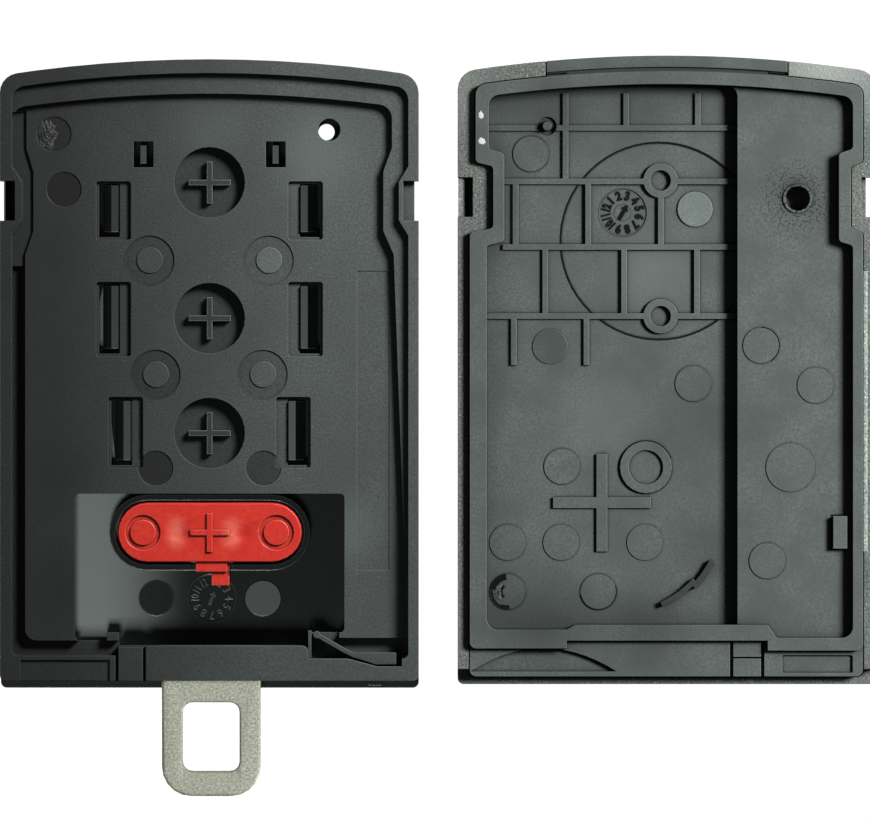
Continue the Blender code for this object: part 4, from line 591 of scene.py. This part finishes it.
def dialFigures(name, dial, body, material):
    # The numbers 1 to 12 stand round the dial, feet to its middle, and an arrow lies across it
    points, faces, first = [], [], 0
    foot = dial["level"] - figureStyle["sunk"]
    for number in range(1, figureStyle["count"] + 1):
        words = str(number)
        letters = bpy.data.curves.new(words, "FONT")
        letters.body, letters.extrude, letters.offset = words, figureStyle["thick"], dial["bold"]
        letters.align_x, letters.align_y = "CENTER", "CENTER"
        letters.resolution_u = figureStyle["steps"]
        shape = bpy.data.objects.new(words, letters)
        bpy.context.scene.collection.objects.link(shape)
        view = bpy.context.evaluated_depsgraph_get()
        outline = bpy.data.meshes.new_from_object(shape.evaluated_get(view))
        bpy.data.objects.remove(shape)
        welded = bmesh.new()
        welded.from_mesh(outline)
        bmesh.ops.triangulate(welded, faces=welded.faces)
        bmesh.ops.remove_doubles(welded, verts=welded.verts, dist=figureStyle["weld"])
        welded.to_mesh(outline)
        welded.free()
        flat = np.empty(len(outline.vertices) * 3)
        outline.vertices.foreach_get("co", flat)
        flat = flat.reshape(-1, 3)
        corners = np.empty(len(outline.polygons) * 3, int)
        outline.polygons.foreach_get("vertices", corners)
        angle = math.radians(90 - dial["turn"] - 360 / figureStyle["count"] * (number - 1))
        width = dial["size"] * dial["narrow"] * figureStyle["squeeze"] ** (len(words) - 1)
        across, out = flat[:, 0] * width, dial["ring"] + flat[:, 1] * dial["size"]
        points.append(np.stack([dial["x"] + out * math.cos(angle) + across * math.sin(angle),
                                dial["y"] + out * math.sin(angle) - across * math.cos(angle),
                                foot + (flat[:, 2] > 0) * dial["height"]], -1))
        faces.append(corners.reshape(-1, 3) + first)
        first += len(flat)
    turn = math.radians(dial["arrowTurn"])
    turned = np.array(figureStyle["arrow"]) * dial["arrow"] @ np.array(
        [[math.cos(turn), math.sin(turn)], [-math.sin(turn), math.cos(turn)]])
    count = len(turned)
    sheet = np.concatenate([turned, turned]) + (dial["x"], dial["y"])
    levels = foot + np.repeat([0, dial["height"]], count)
    points.append(np.concatenate([sheet, levels[:, None]], 1))
    fill = np.array(figureStyle["arrowFill"])
    walls = splitQuads(ringFaces(2, count))
    faces.append(np.concatenate([fill[:, ::-1], fill + count, walls]) + first)
    triangles = np.concatenate(faces)
    addPiece(name, np.concatenate(points), triangles, np.full(len(triangles), dial["tone"]),
             body, material)


rearDial = {
    "x": 21.4, "y": 24.725, "level": 1.6, "height": 0.09, "ring": 1.92, "size": 1.4,
    "narrow": 0.85, "bold": 0.045, "turn": -45, "arrow": 1.15, "arrowTurn": 60, "tone": 1.0,
}
pocketDial = {
    "x": -26.208, "y": -19.929, "level": 1.1, "height": 0.09, "ring": 1.92, "size": 1.35,
    "narrow": 0.85, "bold": 0.02, "turn": 0, "arrow": 0.95, "arrowTurn": 70, "tone": 1.2,
}
dialFigures("rearDial", rearDial, "case_halves", shadeBlackMaterial)
dialFigures("pocketDial", pocketDial, "case_halves", skinMaterial)

# innerReach is where the first ring lies, of 1; the rim wanders by up to its share, and its foot
# and the closing point lie below the face (in mm)
patchSettings = {
    "rings": 7, "around": 26, "innerReach": 0.12, "wander": 0.25, "leastLift": 0.2,
    "proud": 0.01, "rimDrop": 0.06, "hubDrop": 0.05,
}


def tornPatch(name, row, body, material):
    # A low rough mound over an ellipse: its rim wanders and its height is noise that fades to the
    # rim, with the same rim carried down below the face that it sits on, so that it is closed
    x, y, halfX, halfY, level, height, lowTone, highTone, seed = row
    chance = np.random.default_rng(seed)
    rings, around = patchSettings["rings"], patchSettings["around"]
    turn = np.linspace(0, 2 * np.pi, around, endpoint=False)
    share = np.linspace(patchSettings["innerReach"], 1, rings)[:, None]
    wander = patchSettings["wander"] * chance.normal(size=around).clip(-1, 1)
    reach = share * (1 + wander)
    rough = chance.uniform(patchSettings["leastLift"], 1, (rings, around))
    lift = height * (1 - share ** 2) * rough
    top = np.stack([x + halfX * reach * np.cos(turn), y + halfY * reach * np.sin(turn),
                    level + patchSettings["proud"] + lift], -1)
    foot = top[-1] - (0, 0, patchSettings["rimDrop"])
    ends = [[x, y, level + height / 2], [x, y, level - patchSettings["hubDrop"]]]
    points = np.concatenate([top.reshape(-1, 3), foot, ends])
    hub, under = (rings + 1) * around, (rings + 1) * around + 1
    k = np.arange(around)
    lid = np.stack([np.full(around, hub), (k + 1) % around, k], -1)
    base = np.stack([np.full(around, under), rings * around + k,
                     rings * around + (k + 1) % around], -1)
    triangles = np.concatenate([splitQuads(ringFaces(rings + 1, around)), lid, base])
    tones = chance.uniform(lowTone, highTone, len(triangles))
    addPiece(name, points, triangles, tones, body, material)


# x, y, half width and length, level of the face, height, lowest and highest tone, seed
patches = (
    ("traySprueScar", (-45.3, 33.9, 1.15, 1.7, 3.0, 0.16, 0.0, 2.6, 3), "glass_filled_frame",
     frameMaterial),
    ("linerSprueScar", (6.95, -19.3, 0.6, 0.9, 1.9, 0.1, 0.1, 1.7, 5), "liner_plastic",
     linerMaterial),
    ("upperChip", (4.94, 35.89, 0.28, 0.48, 5.05, 0.03, 0.8, 1.1, 7), "liner_plastic",
     whitenedMaterial),
    ("lowerChip", (5.1, 32.9, 0.42, 0.36, 5.05, 0.03, 0.8, 1.1, 8), "liner_plastic",
     whitenedMaterial),
)
for name, row, slot, material in patches:
    tornPatch(name, row, "case_halves", material)


def slotWall(name, wall, body, material):
    # A straight wall whose rounded top is a half circle carried along y, closed at both ends
    turn = np.linspace(0, np.pi, wall["topSteps"])
    across = wall["x"] + wall["width"] / 2 * np.concatenate([np.cos(turn), [-1, 1]])
    up = np.append(wall["top"] - wall["round"] * (1 - np.sin(turn)), [wall["foot"]] * 2)
    rings, count = wall["lengthSteps"], len(across)
    along = wall["y"] + wall["length"] * np.linspace(-0.5, 0.5, rings)
    points = np.stack([np.tile(across, rings), np.repeat(along, count), np.tile(up, rings)], -1)
    fan = np.arange(1, count - 1)
    cap = np.stack([np.zeros_like(fan), fan, fan + 1], -1)
    triangles = np.concatenate([splitQuads(ringFaces(rings, count)), cap[:, ::-1],
                                cap + (rings - 1) * count])
    tones = np.full(len(triangles), wall["tone"])
    addPiece(name, points, triangles, tones, body, material)


# tone 2.4 paints this wall as a pale, brightly lit strip: painted light
rearSlotWall = {
    "x": 49.37, "width": 0.52, "y": 1.7, "length": 32.4, "foot": 2.95, "top": 4.26,
    "round": 0.06, "topSteps": 7, "lengthSteps": 13, "tone": 2.4,
}
slotWall("rearSlotWall", rearSlotWall, "case_halves", shellMaterial)


def slopedFill(name, fill, body, material):
    # A block across a notch: its rounded top falls along x, and each strip of it has its own tone;
    # the tones fall from pale to dark along x, painted shade where the shell's wall shadows it
    x, top = np.array(fill["x"]), np.array(fill["top"])
    foot = np.where(x < fill["innerX"], fill["outerFoot"], fill["innerFoot"])
    low, high = np.full_like(x, fill["y"][0]), np.full_like(x, fill["y"][1])
    sections = np.stack([np.stack([x, low, foot], -1), np.stack([x, high, foot], -1),
                         np.stack([x, high, top], -1), np.stack([x, low, top], -1)], 1)
    last = (len(x) - 1) * 4
    faces = np.concatenate([ringFaces(len(x), 4), [[0, 3, 2, 1]],
                            [[last, last + 1, last + 2, last + 3]]])
    strips = np.repeat(np.linspace(*fill["tones"], len(x) - 1), 4)
    tones = np.append(strips, fill["tones"])
    addPiece(name, sections.reshape(-1, 3), faces, tones, body, material)


rearNotchFill = {
    "x": (2.32, 2.6, 2.74, 2.9, 3.1, 3.3, 3.5), "top": (3.7, 3.62, 3.55, 3.4, 3.1, 2.6, 2.02),
    "y": (24.2, 28.74), "innerX": 2.8, "outerFoot": 0.9, "innerFoot": 1.95, "tones": (1.15, 0.3),
}
slopedFill("rearNotchFill", rearNotchFill, "case_halves", shellMaterial)

print("table, light and camera")
stageSettings = {
    "tableSize": 1.6, "tableSteps": 3, "tableRoughness": 0.5, "tableGlow": 1.02,
    "tableColour": "F4F4F2", "worldStrength": 0.03, "viewCentre": (-0.37 * mm, 1.97 * mm),
    "viewWidth": 100.93 * mm, "lens": 400, "sensorWidth": 36,
}
# each half has its own softbox, because the two were lit one after the other; the polished skin
# and the metal show the cards above them rather than the softbox
frontLit = ("frontFrame", "topKey", "middleKey", "lowerKey", "redKey", "thumbLatch", "trayShadeLines",
            "traySprueScar")
rearLit = ("rearShell", "rearLiner", "linerShadeLines", "rearDial", "linerSprueScar", "upperChip",
           "lowerChip", "rearSlotWall", "rearNotchFill", "blackShadeLines")
# turn and rise say where a softbox stands, in degrees from +X and above the table; power in watts
frontX, rearX = -26.4 * mm, 26.4 * mm
softboxes = (
    {"name": "front softbox", "middle": (frontX, 4 * mm), "turn": 42, "rise": 36,
     "distance": 0.3, "size": 0.09, "power": 2.2, "lit": frontLit},
    {"name": "front fill", "middle": (frontX, 4 * mm), "turn": 220, "rise": 50,
     "distance": 0.3, "size": 0.2, "power": 0.08, "lit": frontLit},
    {"name": "skin card", "middle": (frontX, -15 * mm), "turn": -100, "rise": 54,
     "distance": 0.3, "size": 0.1, "power": 0.98, "lit": ("frontSkin", "pocketDial")},
    {"name": "loop card", "middle": (frontX, -38 * mm), "turn": 10, "rise": 76,
     "distance": 0.3, "size": 0.2, "power": 0.28, "lit": ("keyLoop",)},
    {"name": "loop edge card", "middle": (frontX, -38 * mm), "turn": -25, "rise": 22,
     "distance": 0.3, "size": 0.12, "power": 0.45, "lit": ("keyLoop",)},
    {"name": "rear softbox", "middle": (rearX, 4 * mm), "turn": 20, "rise": 43,
     "distance": 0.5, "size": 0.13, "power": 3.9, "lit": rearLit},
)


def gridSheet(name, size, count):
    # A level square sheet: x and y run evenly from -size/2 to size/2, z is 0
    steps = np.linspace(-size / 2, size / 2, count)
    x, y = np.meshgrid(steps, steps)
    points = np.stack([x, y, np.zeros_like(x)], -1).reshape(-1, 3)
    row = np.arange((count - 1) * count).reshape(count - 1, count)[:, :-1].ravel()
    faces = np.stack([row, row + 1, row + 1 + count, row + count], -1)
    mesh = bpy.data.meshes.new(name)
    mesh.from_pydata(points.tolist(), [], faces.tolist())
    sheet = bpy.data.objects.new(name, mesh)
    bpy.context.scene.collection.objects.link(sheet)
    return sheet


# opal acrylic lit from below: an even white with no shadow on it
tableMaterial = startMaterial("backlit acrylic table", {
    "Roughness": stageSettings["tableRoughness"],
    "Base Color": toLinear(stageSettings["tableColour"]),
    "Emission Color": (1, 1, 1, 1), "Emission Strength": stageSettings["tableGlow"],
})[0]
table = gridSheet("table", stageSettings["tableSize"], stageSettings["tableSteps"])
table.data.materials.append(tableMaterial)

for box in softboxes:
    turn, rise = math.radians(box["turn"]), math.radians(box["rise"])
    towards = np.array([math.cos(turn) * math.cos(rise), math.sin(turn) * math.cos(rise),
                        math.sin(rise)])
    light = bpy.data.lights.new(box["name"], "AREA")
    light.shape = "SQUARE"
    light.size = box["size"]
    light.energy = box["power"]
    lamp = bpy.data.objects.new(box["name"], light)
    lamp.location = (np.array([*box["middle"], 0]) + towards * box["distance"]).tolist()
    lamp.rotation_euler = mathutils.Vector(towards).to_track_quat("Z", "Y").to_euler()
    bpy.context.scene.collection.objects.link(lamp)
    receivers = bpy.data.collections.new(box["name"] + " lights")
    for piece in bpy.context.scene.objects:
        if piece.name in box["lit"]:
            receivers.objects.link(piece)
    lamp.light_linking.receiver_collection = receivers

world = bpy.data.worlds.new("studio")
world.use_nodes = True
background = world.node_tree.nodes["Background"]
background.inputs["Color"].default_value = (1, 1, 1, 1)
background.inputs["Strength"].default_value = stageSettings["worldStrength"]
bpy.context.scene.world = world

camera = bpy.data.cameras.new("camera")
camera.lens = stageSettings["lens"]
camera.sensor_width = stageSettings["sensorWidth"]
distance = stageSettings["viewWidth"] * camera.lens / camera.sensor_width
viewer = bpy.data.objects.new("camera", camera)
viewer.location = (*stageSettings["viewCentre"], distance)
bpy.context.scene.collection.objects.link(viewer)
bpy.context.scene.camera = viewer
bpy.context.scene.view_settings.view_transform = "Standard"
